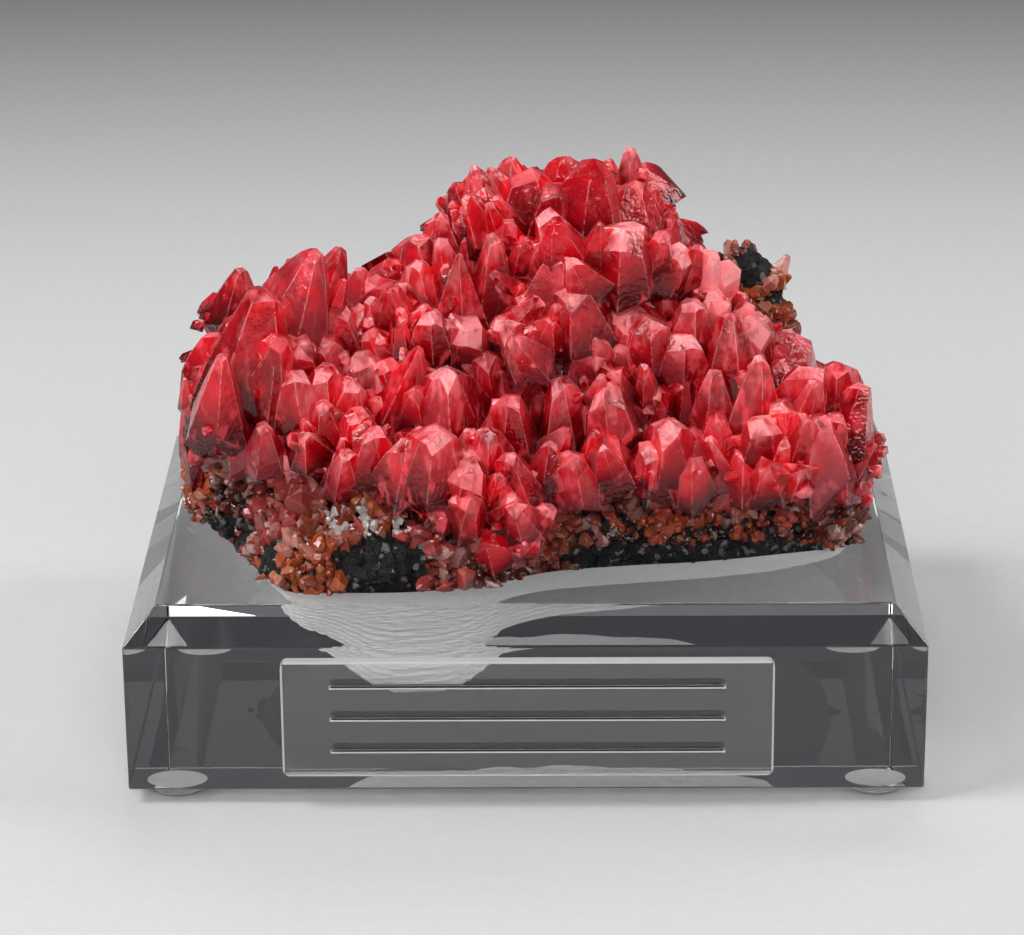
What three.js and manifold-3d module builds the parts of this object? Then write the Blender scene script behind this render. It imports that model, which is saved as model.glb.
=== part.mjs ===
// A rhodochrosite cabinet specimen seated in a milled pocket of a clear acrylic display block.
// Millimetres, +Z up. The origin is on the surface that the block stands on, under its footprint's middle.
// X runs along the block's long side, and the front, with the label plate, faces -Y.
import * as THREE from 'three';
import { mergeVertices } from 'three/addons/utils/BufferGeometryUtils.js';
import Module from 'manifold-3d';

const wasm = await Module();
wasm.setup();

// ---- Driving dimensions ----
const blockLength = 101.6;        // a stock 4 in block
const blockDepth = 76.2;          // 3 in
const blockHeight = 24;
const bevelInset = 4;             // the top bevel, measured inwards
const bevelDrop = 4.2;            // and downwards
const footHeight = 2;             // clear stick-on bumper feet
const footRadius = 3.95;
const footFlatRadius = 2;
const footSides = 16;
const footInset = 6;              // from the block's sides to a foot's centre
const footInsetFront = 5;
const plateLength = 62.3;
const plateHeight = 15.8;
const plateThickness = 1.6;
const plateCorner = 0.8;
const plateCentreX = 0.3;
const plateRise = 4.6;            // the plate's lower edge above the table
const glueLine = 0.05;            // keeps the plate and the feet clear of the block
const fitGap = 0.3;               // between pieces that rest on or grow against each other

const topHeight = footHeight + blockHeight;
const blockShift = plateThickness / 2;       // puts the plate and the block centred over the origin

// ---- Solids and meshes ----

const mergeDistance = 1e-4;

// A geometry with only its positions, and one corner where several met.
function merged(geometry) {
  const bare = geometry.clone();
  bare.deleteAttribute('normal');
  bare.deleteAttribute('uv');
  return mergeVertices(bare, mergeDistance);
}

// A closed three.js geometry as a solid that can be joined and cut.
function solidOf(geometry) {
  const closed = merged(geometry);
  return new wasm.Manifold(new wasm.Mesh({
    numProp: 3,
    vertProperties: closed.attributes.position.array,
    triVerts: new Uint32Array(closed.index.array),
  }));
}

// A solid back as a three.js geometry.
function geometryOf(solid) {
  const mesh = solid.getMesh();
  const points = new Float32Array((mesh.vertProperties.length / mesh.numProp) * 3);
  for (let i = 0; i < points.length / 3; i++) {
    for (let axis = 0; axis < 3; axis++) {
      points[3 * i + axis] = mesh.vertProperties[mesh.numProp * i + axis];
    }
  }
  const geometry = new THREE.BufferGeometry();
  geometry.setAttribute('position', new THREE.BufferAttribute(points, 3));
  geometry.setIndex(new THREE.BufferAttribute(new Uint32Array(mesh.triVerts), 1));
  const flat = geometry.toNonIndexed();
  flat.computeVertexNormals();
  return flat;
}

// Joins a list of solids two by two, so that each join stays small.
function joinAll(solids) {
  if (solids.length === 1) return solids[0];
  const middle = Math.ceil(solids.length / 2);
  return joinAll(solids.slice(0, middle)).add(joinAll(solids.slice(middle)));
}

// The largest body of a solid, with facets below the tolerance merged away.
function mainBody(solid, tolerance = 0.1) {
  const bodies = solid.simplify(tolerance).decompose();
  return bodies.reduce((best, body) => (body.volume() > best.volume() ? body : best));
}

function namedMesh(name, geometry, look) {
  const mesh = new THREE.Mesh(geometry, new THREE.MeshStandardMaterial(look));
  mesh.name = name;
  return mesh;
}

// A closed skin over rings of equally many points, each ring listed anticlockwise from above, lowest first.
function loft(rings) {
  const count = rings[0].length;
  const points = rings.flat();
  const faces = [];
  for (let level = 0; level + 1 < rings.length; level++) {
    for (let i = 0; i < count; i++) {
      const a = level * count + i;
      const b = level * count + ((i + 1) % count);
      faces.push(a, b, b + count, a, b + count, a + count);
    }
  }
  const closeEnd = (ring, start, upwards) => {
    const middle = new THREE.Vector3();
    ring.forEach((p) => middle.addScaledVector(p, 1 / count));
    const hub = points.push(middle) - 1;
    for (let i = 0; i < count; i++) {
      const a = start + i;
      const b = start + ((i + 1) % count);
      faces.push(...(upwards ? [a, b, hub] : [b, a, hub]));
    }
  };
  closeEnd(rings[0], 0, false);
  closeEnd(rings[rings.length - 1], (rings.length - 1) * count, true);
  const geometry = new THREE.BufferGeometry().setFromPoints(points);
  geometry.setIndex(faces);
  return geometry;
}

// A repeatable value between 0 and 1 for item number i of series k.
function chance(i, k) {
  const x = Math.sin(i * 12.9898 + k * 78.233 + 4.1) * 43758.5453;
  return x - Math.floor(x);
}

// ---- The pocket and the rock's outline ----

// The pocket's rim on the block's top, anticlockwise from the left: x, y.
const rim = [
  [-38.8, -11.6], [-36, -19], [-32.3, -26.2], [-29.6, -29.3], [-23, -29.6], [-15.9, -29.5], [-10, -28.6],
  [-4.5, -27.2], [-0.7, -24.6], [4.5, -22.4], [13, -20.8], [22.6, -19.5], [32, -17.3], [41.1, -14.3],
  [43.2, -9], [44, 0], [42, 10], [36, 18.5], [26, 24.5], [10, 27.5], [-8, 26], [-24, 20.5], [-35, 11.5],
  [-39.5, 0],
];
const pocketCentre = [-4, -3];
// The pocket's depth at places across the block: x, depth.
const depthAcross = [[-40, 1.6], [-34, 2.6], [-28, 6.6], [-22, 8.4], [20, 8.4], [32, 8], [38, 6], [44, 3.6]];
// A deeper well under the front of the specimen.
const wellCentre = [-13.5, -25];
const wellReach = [8.5, 10];
const wellDepth = 12.8;
const pocketFloorShares = [0.3, 0.6, 0.8, 0.975];
const pocketOvershoot = 2;        // how far the cut reaches above the block

// The rim drawn in towards the pocket's centre by a share, then moved outwards by a distance.
function rimRing(z, share, outwards) {
  return rim.map(([x, y]) => {
    const dx = x - pocketCentre[0];
    const dy = y - pocketCentre[1];
    const scale = share + outwards / Math.hypot(dx, dy);
    return new THREE.Vector3(pocketCentre[0] + dx * scale, pocketCentre[1] + dy * scale, z);
  });
}

function pocketDepth(x, y) {
  const next = Math.max(1, depthAcross.findIndex(([limit]) => limit >= x));
  const [x0, depth0] = depthAcross[next - 1];
  const [x1, depth1] = depthAcross[next];
  const plain = THREE.MathUtils.mapLinear(x, x0, x1, depth0, depth1);
  const outX = (x - wellCentre[0]) / wellReach[0];
  const outY = (y - wellCentre[1]) / wellReach[1];
  return THREE.MathUtils.lerp(plain, wellDepth, Math.exp(-(outX ** 4) - outY ** 4));
}

// A ring that lies at a share of the pocket's depth, then lower by a distance.
function sunkRing(depthShare, share, outwards) {
  const ring = rimRing(0, share, outwards);
  ring.forEach((p) => p.setZ(-depthShare * pocketDepth(p.x, p.y) - outwards));
  return ring;
}

// ---- The acrylic display block and what is stuck to it ----

function rectangleRing(length, depth, z) {
  const x = length / 2;
  const y = depth / 2;
  return [[-x, -y], [x, -y], [x, y], [-x, y]].map(([px, py]) => new THREE.Vector3(px, py + blockShift, z));
}

function acrylicBase() {
  const block = solidOf(loft([
    rectangleRing(blockLength, blockDepth, footHeight + glueLine),
    rectangleRing(blockLength, blockDepth, topHeight - bevelDrop),
    rectangleRing(blockLength - 2 * bevelInset, blockDepth - 2 * bevelInset, topHeight),
  ]));
  const rings = pocketFloorShares.map((share) => sunkRing(1, share, fitGap));
  rings.push(rimRing(0, 1, fitGap), rimRing(pocketOvershoot, 1, fitGap));
  const pocket = solidOf(loft(rings)).translate([0, 0, topHeight]);
  const look = { color: 0xdfe4e6, roughness: 0.06, metalness: 0, transparent: true, opacity: 0.35 };
  return namedMesh('acrylic_base', geometryOf(mainBody(block.subtract(pocket))), look);
}

// A thin plate with rounded corners, glued to the block's front.
function labelPlate() {
  const x = plateLength / 2;
  const z = plateHeight / 2;
  const r = plateCorner;
  const outline = new THREE.Shape();
  outline.moveTo(-x + r, -z);
  outline.lineTo(x - r, -z);
  outline.quadraticCurveTo(x, -z, x, -z + r);
  outline.lineTo(x, z - r);
  outline.quadraticCurveTo(x, z, x - r, z);
  outline.lineTo(-x + r, z);
  outline.quadraticCurveTo(-x, z, -x, z - r);
  outline.lineTo(-x, -z + r);
  outline.quadraticCurveTo(-x, -z, -x + r, -z);
  const geometry = new THREE.ExtrudeGeometry(outline, {
    depth: plateThickness - glueLine, bevelEnabled: false, curveSegments: 4,
  });
  const look = { color: 0xe6eaec, roughness: 0.12, metalness: 0, transparent: true, opacity: 0.35 };
  const plate = namedMesh('label_plate', geometry, look);
  plate.rotation.x = Math.PI / 2;
  plate.position.set(plateCentreX, blockShift - blockDepth / 2 - glueLine, plateRise + z);
  return plate;
}

// A domed bumper: flat where it stands, bulging out to its full radius, flat where it is stuck on.
function foot(name, x, y) {
  const profile = [
    [0, 0], [footFlatRadius, 0], [3.2, 0.35], [footRadius, 1.25], [footRadius, footHeight], [0, footHeight],
  ];
  const geometry = new THREE.LatheGeometry(profile.map(([r, z]) => new THREE.Vector2(r, z)), footSides);
  const bumper = namedMesh(name, geometry, { color: 0xe8ecee, roughness: 0.15, metalness: 0 });
  bumper.rotation.x = Math.PI / 2;
  bumper.position.set(x, y, 0);
  return bumper;
}

// ---- The rock under the crystals ----

// An ellipsoid with a lumpy surface: each corner is moved in or out by a repeatable share.
function lump([x, y, z], [rx, ry, rz], detail, roughness, series) {
  const ball = merged(new THREE.IcosahedronGeometry(1, detail));
  const at = ball.attributes.position;
  for (let i = 0; i < at.count; i++) {
    const stretch = 1 + roughness * (chance(i, series) - 0.5);
    at.setXYZ(i, x + rx * stretch * at.getX(i), y + ry * stretch * at.getY(i), z + rz * stretch * at.getZ(i));
  }
  return solidOf(ball);
}

// Centre and radii of the black rock's humps. The bed fills the pocket and rises a little above the block.
const rockHumps = [
  [[2, 11, 12], [32, 14.5, 20]],
  [[27, 8, 19], [8, 8, 11]],
  [[29.6, 5.5, 31], [3, 3, 3.2]],
  [[31.8, 6, 26.5], [2.6, 3, 4]],
  [[-24, 6, 9], [18, 14, 13]],
  [[-37, -5, 4.5], [7.5, 11, 4.5]],
];
// Under the block's top: share of the pocket's depth, share of the rim. Over it: height, share of the rim.
const bedUnder = [[0.88, 0.3], [0.85, 0.6], [0.78, 0.85], [0.5, 0.96]];
const bedOver = [[0, 1], [2.5, 1.015], [5, 0.99], [7.5, 0.9]];
const bedTop = bedOver[bedOver.length - 1][0];
const humpRoughness = 0.07;

// The rock, or with a growth the space that it and its gap take up.
function rock(grow) {
  const outwards = grow - fitGap / 3;
  const bed = loft([
    ...bedUnder.map(([depthShare, share]) => sunkRing(depthShare, share, outwards)),
    ...bedOver.map(([z, share]) => rimRing(z === bedTop ? z + grow : z, share, outwards)),
  ]);
  const humps = rockHumps.map(([centre, radii], i) => {
    const detail = i === 0 ? 2 : 1;
    return lump(centre, radii.map((r) => r + grow), detail, humpRoughness, 20 + i);
  });
  return joinAll([solidOf(bed), ...humps]);
}

// ---- The small brown and orange crystals that coat the rock's edges ----

// Each coat follows a line of x, y, z points, with the lumps' half size.
const coats = {
  crust_front_left: {
    line: [[-44, -5, 8.5], [-43, -12, 6.5], [-38.5, -17, 7], [-34.5, -23.5, 6.5], [-29.5, -27, 6.5],
      [-23.5, -28, 7.6],
      [-17, -28, 6.8], [-11, -27, 6]],
    size: 2.7,
    color: 0xb8542e,
  },
  crust_front_right: {
    line: [[2, -22.6, 6.2], [9, -21, 6.4], [17, -20, 6.4], [25, -18.6, 6.6], [32, -17, 6.8], [38, -15, 7],
      [42.5, -11, 6.2]],
    size: 2.5,
    color: 0x8a3a26,
  },
  crust_upper_right: {
    line: [[26.5, -1, 27.5], [29.5, -1.5, 29], [32.5, -2, 26.5], [31, -3, 23.5]],
    size: 2.5,
    color: 0xb5502c,
  },
};
const coatStep = 3.4;

function coat({ line, size }, grow, series) {
  const path = new THREE.CatmullRomCurve3(line.map((p) => new THREE.Vector3(...p)));
  const count = Math.ceil(path.getLength() / coatStep);
  const lumps = [];
  for (let i = 0; i <= count; i++) {
    const p = path.getPointAt(i / count);
    const half = size * (0.85 + 0.4 * chance(i, series)) + grow;
    const shift = 0.9 * (chance(i, series + 1) - 0.5);
    lumps.push(lump([p.x, p.y + shift, p.z + shift], [half, half, half], 0, 0.12, series + 2 + i));
  }
  return joinAll(lumps);
}

// ---- The red crystals ----

// Centre and radii of the lobes that the crystals grow out of, measured from the middle of the block's top.
const lobes = [
  [[7, 2, 24], [18, 14.5, 20.5]],
  [[-14, -2, 16], [14, 14, 15.5]],
  [[-31, -6, 14], [11.8, 14, 15]],
  [[33, -3, 8], [11.8, 14, 11]],
  [[-10, -17, 6], [16, 10.5, 10.5]],
  [[12, -10, 6], [16, 10.5, 10.5]],
  [[-26, -19, 3], [8.5, 8.5, 8]],
  [[22, 0, 17], [11, 12, 14.5]],
];

// The large crystals are listed as they are seen from in front of the specimen, from this eye point.
const frontEye = new THREE.Vector3(4.9, -491.5, 194);

// Each row: where the foot is seen (across, up), where the tip is seen (across, up), how far the tip leans
// towards the front, and the width. Across and up are measured on the upright middle plane.
const crystals = {
  leftLobe: [
    [-39, 26, -37.3, 34, 0, 5], [-41, 15, -34, 29.5, 2, 7], [-43, 10, -42, 21, 0, 5],
    [-32, 24, -27.3, 36.4, 1, 5],
    [-28.5, 25.5, -24, 36.7, 1, 5.5], [-32, 24, -31.5, 34.2, -2, 6], [-23, 28, -21.3, 34, -2, 4],
    [-30.3, 20.5, -30.3, 23.3, 6, 4.5], [-25.5, 20.5, -27, 23.8, 3, 4.5], [-23, 21.5, -24.8, 28.5, 2, 5],
    [-21, 22.5, -23, 29, 0, 4], [-22.5, 13, -21, 22, 3, 6], [-30, 13, -31, 19.5, 3, 5],
    [-18.5, 24, -21, 30, -1, 5],
    [-38, 8, -39, 15, 3, 5], [-44, 5, -46, 15, 0, 4.5], [-35, 6, -35, 12, 4, 5], [-26, 8, -27, 15, 5, 5],
  ],
  middleTop: [
    [-8, 25, -8.6, 35.7, 5, 7], [-4.5, 28, -4, 38.7, 4, 5], [-6, 40, -6.3, 48, 0, 3.5],
    [1, 39.5, -4.8, 47.5, 2, 2.5],
    [-5, 37, -5.3, 42.3, 2, 3.5], [-13, 28.5, -14.3, 34.8, 2, 4], [-14.5, 25, -16.8, 31.7, 2, 5],
    [-13, 23, -13.5, 28.8, 3, 5], [-13, 33, -14.5, 38.5, 0, 6], [-10.5, 36, -11, 41.5, 1, 5],
    [-8, 23, -8, 25.5, 6, 5], [1, 33, -1.3, 38.2, 3, 4], [-3, 25, 2.3, 29.7, 5, 4.5],
    [0.5, 40, 0.6, 47, 1, 6],
    [8, 38.5, 9, 48.5, 2, 7], [3, 39, 4, 45, 4, 5], [14, 43, 13.7, 50.3, 0, 4],
    [14.5, 38, 14.3, 45.8, 1, 6.5],
    [12.5, 31, 12.8, 39, 6, 6], [7, 34, 2.5, 41.5, 3, 5.5], [6.5, 24, 6, 31.5, 5, 7],
    [17, 38, 18, 44, 0, 5],
    [20, 34, 20.5, 41, 0, 5], [23, 27, 24, 34, 2, 5], [-17, 33, -18, 36, -1, 5], [21, 21, 22, 29, 4, 5],
  ],
  middleLow: [
    [-18.5, 11, -14, 22.9, 4, 6], [-10, 11, -10.5, 20, 4, 7], [-13, 2, -12, 11.3, 5, 6],
    [-16.5, 3, -15.5, 9.5, 4, 5],
    [-0.5, 0, -2.5, 7.5, 4, 5.5], [-2, 9, -2, 16, 5, 5], [-8, 2, -8, 5, 6, 5], [-7.5, -3, -7.5, -1, 6, 5.5],
    [1, 11, 1, 18, 4, 5], [-24, 3, -25, 8, 5, 5], [-31, 0, -32, 5, 4, 4.5], [-4, -5, -3, 1, 4, 5],
  ],
  middleRight: [
    [8.5, 18, 9, 25, 4, 5], [12.5, 18, 12.5, 23, 4, 4.5], [16, 19, 16, 27, 5, 5],
    [20, 18, 20.7, 24.2, 5, 4.5],
    [12.5, 12, 15.5, 19, 4, 4], [12.5, 9, 10.5, 17.5, 4, 5.5], [5.3, 10, 4.5, 18.5, 5, 5],
    [19, 4, 19, 12, 5, 5],
    [19, 13, 21, 19, 3, 4], [6, -2, 6, 7.5, 4, 6], [12, 2, 10.5, 10, 4, 5], [17, 0, 16.5, 7.5, 4, 5],
  ],
  rightLobe: [
    [26.5, 17.5, 27, 27.5, 3, 6.5], [24.8, 8, 25, 19.5, 4, 5.5], [29.5, 9.5, 31, 21.5, 4, 5.5],
    [34, 17, 36, 24.5, 1, 6],
    [36, 12, 38, 19.8, 3, 6], [26, 4, 25.5, 13.5, 5, 5.5], [31, 5, 31.5, 12.5, 6, 5],
    [34.5, 1, 35, 10, 4, 5],
    [39.5, 2.5, 38.5, 12.5, 4, 6.5], [43, 7, 45.5, 17.5, 1, 5], [41.5, 12, 41.5, 20.5, 1, 5],
    [43, 3, 47.2, 9, 2, 5],
    [41.5, -0.5, 42.5, 7, 3, 5],
  ],
};
const girth = 1.2;                // the widths above are taken half way up a crystal
const fillSpacing = 8.6;          // between the smaller crystals that cover the rest of the lobes
const fillLowest = 7.5;           // and how far down they go
const fillLength = [3.2, 5.4];
const fillWidth = [5.2, 7];
const buried = 2.2;               // how far a crystal's foot goes below the lobe's surface

// The depth along the eye line at which it meets a lobe, or comes nearest to one.
function lobeHit(towards) {
  let hit = Infinity;
  let nearest = { miss: Infinity, at: 0 };
  for (const [centre, radii] of lobes) {
    const inverse = new THREE.Vector3(...radii.map((r) => 1 / r));
    const start = frontEye.clone().sub(new THREE.Vector3(...centre)).multiply(inverse);
    const step = towards.clone().multiply(inverse);
    const a = step.dot(step);
    const b = start.dot(step);
    const gap = start.dot(start) - (b * b) / a;
    if (gap < 1) hit = Math.min(hit, (-b - Math.sqrt(a * (1 - gap))) / a);
    else if (gap < nearest.miss) nearest = { miss: gap, at: -b / a };
  }
  return hit < Infinity ? hit : nearest.at;
}

// The point seen at (across, up), at a given depth behind the middle plane.
function seenPoint(across, up, depth) {
  const onPlane = new THREE.Vector3(across, 0, up);
  const line = onPlane.clone().sub(frontEye);
  return onPlane.addScaledVector(line, depth / line.y);
}

// A scalenohedron: six faces rise from a zigzag belt to the tip, and six close it below, inside the lobe.
function scalenohedron(footPoint, tip, width, turn) {
  const axis = tip.clone().sub(footPoint);
  const length = axis.length();
  const frame = new THREE.Quaternion().setFromUnitVectors(new THREE.Vector3(0, 0, 1), axis.normalize());
  const points = [new THREE.Vector3(0, 0, -0.3 * width), new THREE.Vector3(0, 0, length)];
  for (let k = 0; k < 6; k++) {
    const angle = (k * Math.PI) / 3 + turn;
    const rise = 0.3 * length + (k % 2 ? -0.09 : 0.09) * length;
    points.push(new THREE.Vector3(Math.cos(angle) * width / 2, Math.sin(angle) * width / 2, rise));
  }
  points.forEach((p) => p.applyQuaternion(frame).add(footPoint));
  const faces = [];
  for (let k = 0; k < 6; k++) {
    const a = 2 + k;
    const b = 2 + ((k + 1) % 6);
    faces.push(a, b, 1, b, a, 0);
  }
  const geometry = new THREE.BufferGeometry().setFromPoints(points);
  geometry.setIndex(faces);
  return solidOf(geometry);
}

function largeCrystals() {
  return Object.values(crystals).flat().map(([footAcross, footUp, tipAcross, tipUp, toward, width], i) => {
    const line = new THREE.Vector3(footAcross, 0, footUp).sub(frontEye);
    const surface = frontEye.clone().addScaledVector(line, lobeHit(line));
    const tip = seenPoint(tipAcross, tipUp, surface.y - toward);
    const into = surface.clone().sub(tip).normalize();
    const footPoint = surface.clone().addScaledVector(into, buried);
    return { foot: footPoint, surface, tip, width: girth * width, turn: 2 * Math.PI * chance(i, 3) };
  });
}

function insideAny(p, shapes, share) {
  return shapes.some(([c, r]) => {
    const out = Math.hypot((p.x - c[0]) / r[0], (p.y - c[1]) / r[1], (p.z - c[2]) / r[2]);
    return out < share;
  });
}

// Crystals on a golden-angle spiral over each lobe, left out where something else already is.
function fillCrystals(large) {
  const planted = large.map((c) => c.surface);
  const made = [];
  lobes.forEach(([centre, radii], lobe) => {
    const area = (4 * Math.PI * (radii[0] * radii[1] + radii[1] * radii[2] + radii[0] * radii[2])) / 3;
    const count = Math.round(area / (fillSpacing * fillSpacing));
    for (let i = 0; i < count; i++) {
      const z = 1 - (2 * (i + 0.5)) / count;
      const angle = i * Math.PI * (3 - Math.sqrt(5)) + lobe;
      const across = Math.sqrt(1 - z * z);
      const unit = new THREE.Vector3(across * Math.cos(angle), across * Math.sin(angle), z);
      const p = new THREE.Vector3(...centre).add(unit.clone().multiply(new THREE.Vector3(...radii)));
      const otherLobes = lobes.filter((other, k) => k !== lobe);
      const covered = insideAny(p, otherLobes, 1.02) || insideAny(p, rockHumps, 1);
      if (covered || p.z < fillLowest || planted.some((q) => q.distanceTo(p) < 0.62 * fillSpacing)) continue;
      planted.push(p);
      const lean = unit.clone().divide(new THREE.Vector3(...radii)).normalize().multiplyScalar(0.8);
      lean.z += 0.5;
      lean.x += 0.4 * (chance(i, lobe + 40) - 0.5);
      lean.normalize();
      const length = THREE.MathUtils.lerp(...fillLength, chance(i, lobe + 50));
      made.push({
        foot: p.clone().addScaledVector(lean, -buried),
        tip: p.clone().addScaledVector(lean, length),
        width: THREE.MathUtils.lerp(...fillWidth, chance(i, lobe + 60)),
        turn: 2 * Math.PI * chance(i, lobe + 70),
      });
    }
  });
  return made;
}

function redCrystals(rockSpace, coatSpaces) {
  const large = largeCrystals();
  const all = [...large, ...fillCrystals(large)];
  const solids = all.map((c) => scalenohedron(c.foot, c.tip, c.width, c.turn));
  const bodies = lobes.map(([centre, radii], i) => lump(centre, radii.map((r) => 1.03 * r), 1, 0.03, 60 + i));
  return joinAll([...bodies, ...solids]).subtract(rockSpace).subtract(joinAll(coatSpaces));
}

// ---- The whole specimen, placed on its block ----

const crystalTolerance = 0.2;

function specimen() {
  const group = new THREE.Group();
  group.position.z = topHeight;
  const rockSpace = rock(fitGap);
  const rockLook = { color: 0x2b2a2a, roughness: 0.55, metalness: 0.1 };
  const redLook = { color: 0xc4202c, roughness: 0.25, metalness: 0 };
  const coatNames = Object.keys(coats);
  const coatSeries = (i) => 100 + 40 * i;
  const coatSpaces = coatNames.map((name, i) => coat(coats[name], fitGap, coatSeries(i)));
  const red = redCrystals(rockSpace, coatSpaces);
  group.add(namedMesh('matrix', geometryOf(mainBody(rock(0))), rockLook));
  group.add(namedMesh('rhodochrosite_crystals', geometryOf(mainBody(red, crystalTolerance)), redLook));
  coatNames.forEach((name, i) => {
    const solid = coat(coats[name], 0, coatSeries(i)).subtract(rockSpace);
    const look = { color: coats[name].color, roughness: 0.4, metalness: 0 };
    group.add(namedMesh(name, geometryOf(mainBody(solid)), look));
  });
  return group;
}

const assembly = new THREE.Group();
assembly.add(acrylicBase(), labelPlate(), specimen());
for (const [side, sx] of [['left', -1], ['right', 1]]) {
  for (const [end, sy] of [['front', -1], ['back', 1]]) {
    const x = sx * (blockLength / 2 - footInset);
    const y = sy * (blockDepth / 2 - footInsetFront) + blockShift;
    assembly.add(foot(`foot_${end}_${side}`, x, y));
  }
}

export default assembly;
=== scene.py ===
# Finishes a rhodochrosite specimen on its clear display block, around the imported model.
import math
import bpy
import numpy as np
from mathutils import Matrix, Vector


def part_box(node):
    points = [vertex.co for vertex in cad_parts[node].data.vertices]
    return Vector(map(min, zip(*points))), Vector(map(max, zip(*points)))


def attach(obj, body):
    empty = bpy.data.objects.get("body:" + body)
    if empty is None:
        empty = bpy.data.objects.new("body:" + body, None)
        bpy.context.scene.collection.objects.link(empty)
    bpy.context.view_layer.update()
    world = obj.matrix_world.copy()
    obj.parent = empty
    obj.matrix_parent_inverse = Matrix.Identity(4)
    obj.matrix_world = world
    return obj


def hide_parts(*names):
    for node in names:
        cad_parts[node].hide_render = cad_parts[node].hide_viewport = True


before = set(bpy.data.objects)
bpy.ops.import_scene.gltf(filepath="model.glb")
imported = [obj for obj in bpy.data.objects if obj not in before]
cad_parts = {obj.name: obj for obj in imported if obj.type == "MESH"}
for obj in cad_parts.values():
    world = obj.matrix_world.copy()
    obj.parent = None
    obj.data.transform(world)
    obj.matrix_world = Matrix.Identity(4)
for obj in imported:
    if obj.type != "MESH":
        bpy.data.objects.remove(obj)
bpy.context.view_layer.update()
mm = 0.001

blockLow, blockHigh = [np.array(corner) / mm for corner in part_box("acrylic_base")]
plateLow, plateHigh = [np.array(corner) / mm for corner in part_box("label_plate")]
topHeight = blockHigh[2]
blockMiddleY = (blockLow[1] + blockHigh[1]) / 2


# ---- shader maths ----

class Value:
    # wraps an output socket, so that maths on it adds Math nodes
    def __init__(self, graph, socket):
        self.graph = graph
        self.socket = socket

    def _math(self, operation, *values):
        return self.graph.node("ShaderNodeMath", {"operation": operation}, *values)

    def __add__(self, other): return self._math("ADD", self, other)
    def __radd__(self, other): return self._math("ADD", other, self)
    def __sub__(self, other): return self._math("SUBTRACT", self, other)
    def __rsub__(self, other): return self._math("SUBTRACT", other, self)
    def __mul__(self, other): return self._math("MULTIPLY", self, other)
    def __rmul__(self, other): return self._math("MULTIPLY", other, self)
    def __truediv__(self, other): return self._math("DIVIDE", self, other)
    def __rtruediv__(self, other): return self._math("DIVIDE", other, self)
    def __pow__(self, other): return self._math("POWER", self, other)

    def clamp(self):
        return self.graph.node("ShaderNodeClamp", {}, self)

    def over(self, low, high):
        # 0 at low, 1 at high, eased between
        settings = {"interpolation_type": "SMOOTHSTEP"}
        return self.graph.node("ShaderNodeMapRange", settings, self, low, high, 0.0, 1.0)


class Graph:
    def __init__(self, name):
        self.material = bpy.data.materials.new(name)
        self.material.use_nodes = True
        self.nodes = self.material.node_tree.nodes
        self.links = self.material.node_tree.links
        self.nodes.clear()
        self.output = self.nodes.new("ShaderNodeOutputMaterial")

    def node(self, kind, settings, *values, out=0, **named):
        # settings first, then the sockets: by place, or by name with spaces left out
        made = self.nodes.new(kind)
        for key, value in settings.items():
            if key == "stops":
                ramp = made.color_ramp
                while len(ramp.elements) < len(value):
                    ramp.elements.new(0.5)
                for element, (place, colour) in zip(ramp.elements, value):
                    element.position = place
                    element.color = (*colour, 1.0)
            else:
                setattr(made, key, value)
        for place, value in enumerate(values):
            self.feed(made.inputs[place], value)
        for key, value in named.items():
            socket = next(s for s in made.inputs if s.enabled and s.name.replace(" ", "") == key)
            self.feed(socket, value)
        outputs = [s for s in made.outputs if s.enabled]
        return Value(self, outputs[out])

    def feed(self, socket, value):
        if value is None:
            return
        if isinstance(value, Value):
            self.links.new(value.socket, socket)
        elif isinstance(value, tuple) and socket.type == "RGBA" and len(value) == 3:
            socket.default_value = (*value, 1.0)
        else:
            socket.default_value = value

    def place(self):
        return self.node("ShaderNodeTexCoord", {}, out=3)      # object coordinates, in metres

    def noise(self, where, scale, detail=3.0, rough=0.55, distortion=0.0):
        return self.node("ShaderNodeTexNoise", {}, Vector=where, Scale=scale, Detail=detail,
                         Roughness=rough, Distortion=distortion)

    def cells(self, where, scale, feature="F1", out=0, randomness=1.0):
        return self.node("ShaderNodeTexVoronoi", {"feature": feature}, Vector=where, Scale=scale,
                         Randomness=randomness, out=out)

    def stretch(self, where, scale, turn=(0.0, 0.0, 0.0)):
        return self.node("ShaderNodeMapping", {}, Vector=where, Scale=scale, Rotation=turn)

    def mix(self, share, first, second):
        made = self.nodes.new("ShaderNodeMix")
        made.data_type = "RGBA"
        for name, value in (("Factor", share), ("A", first), ("B", second)):
            socket = next(s for s in made.inputs if s.enabled and s.name == name)
            self.feed(socket, value)
        return Value(self, next(s for s in made.outputs if s.enabled))

    def ramp(self, share, stops):
        return self.node("ShaderNodeValToRGB", {"stops": stops}, share)

    def bump(self, height, strength, distance, normal=None):
        return self.node("ShaderNodeBump", {}, Height=height, Strength=strength, Distance=distance, Normal=normal)

    def surface(self, shader):
        self.links.new(shader.socket, self.output.inputs["Surface"])

    def volume(self, shader):
        self.links.new(shader.socket, self.output.inputs["Volume"])


# ---- meshes from arrays ----

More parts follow.
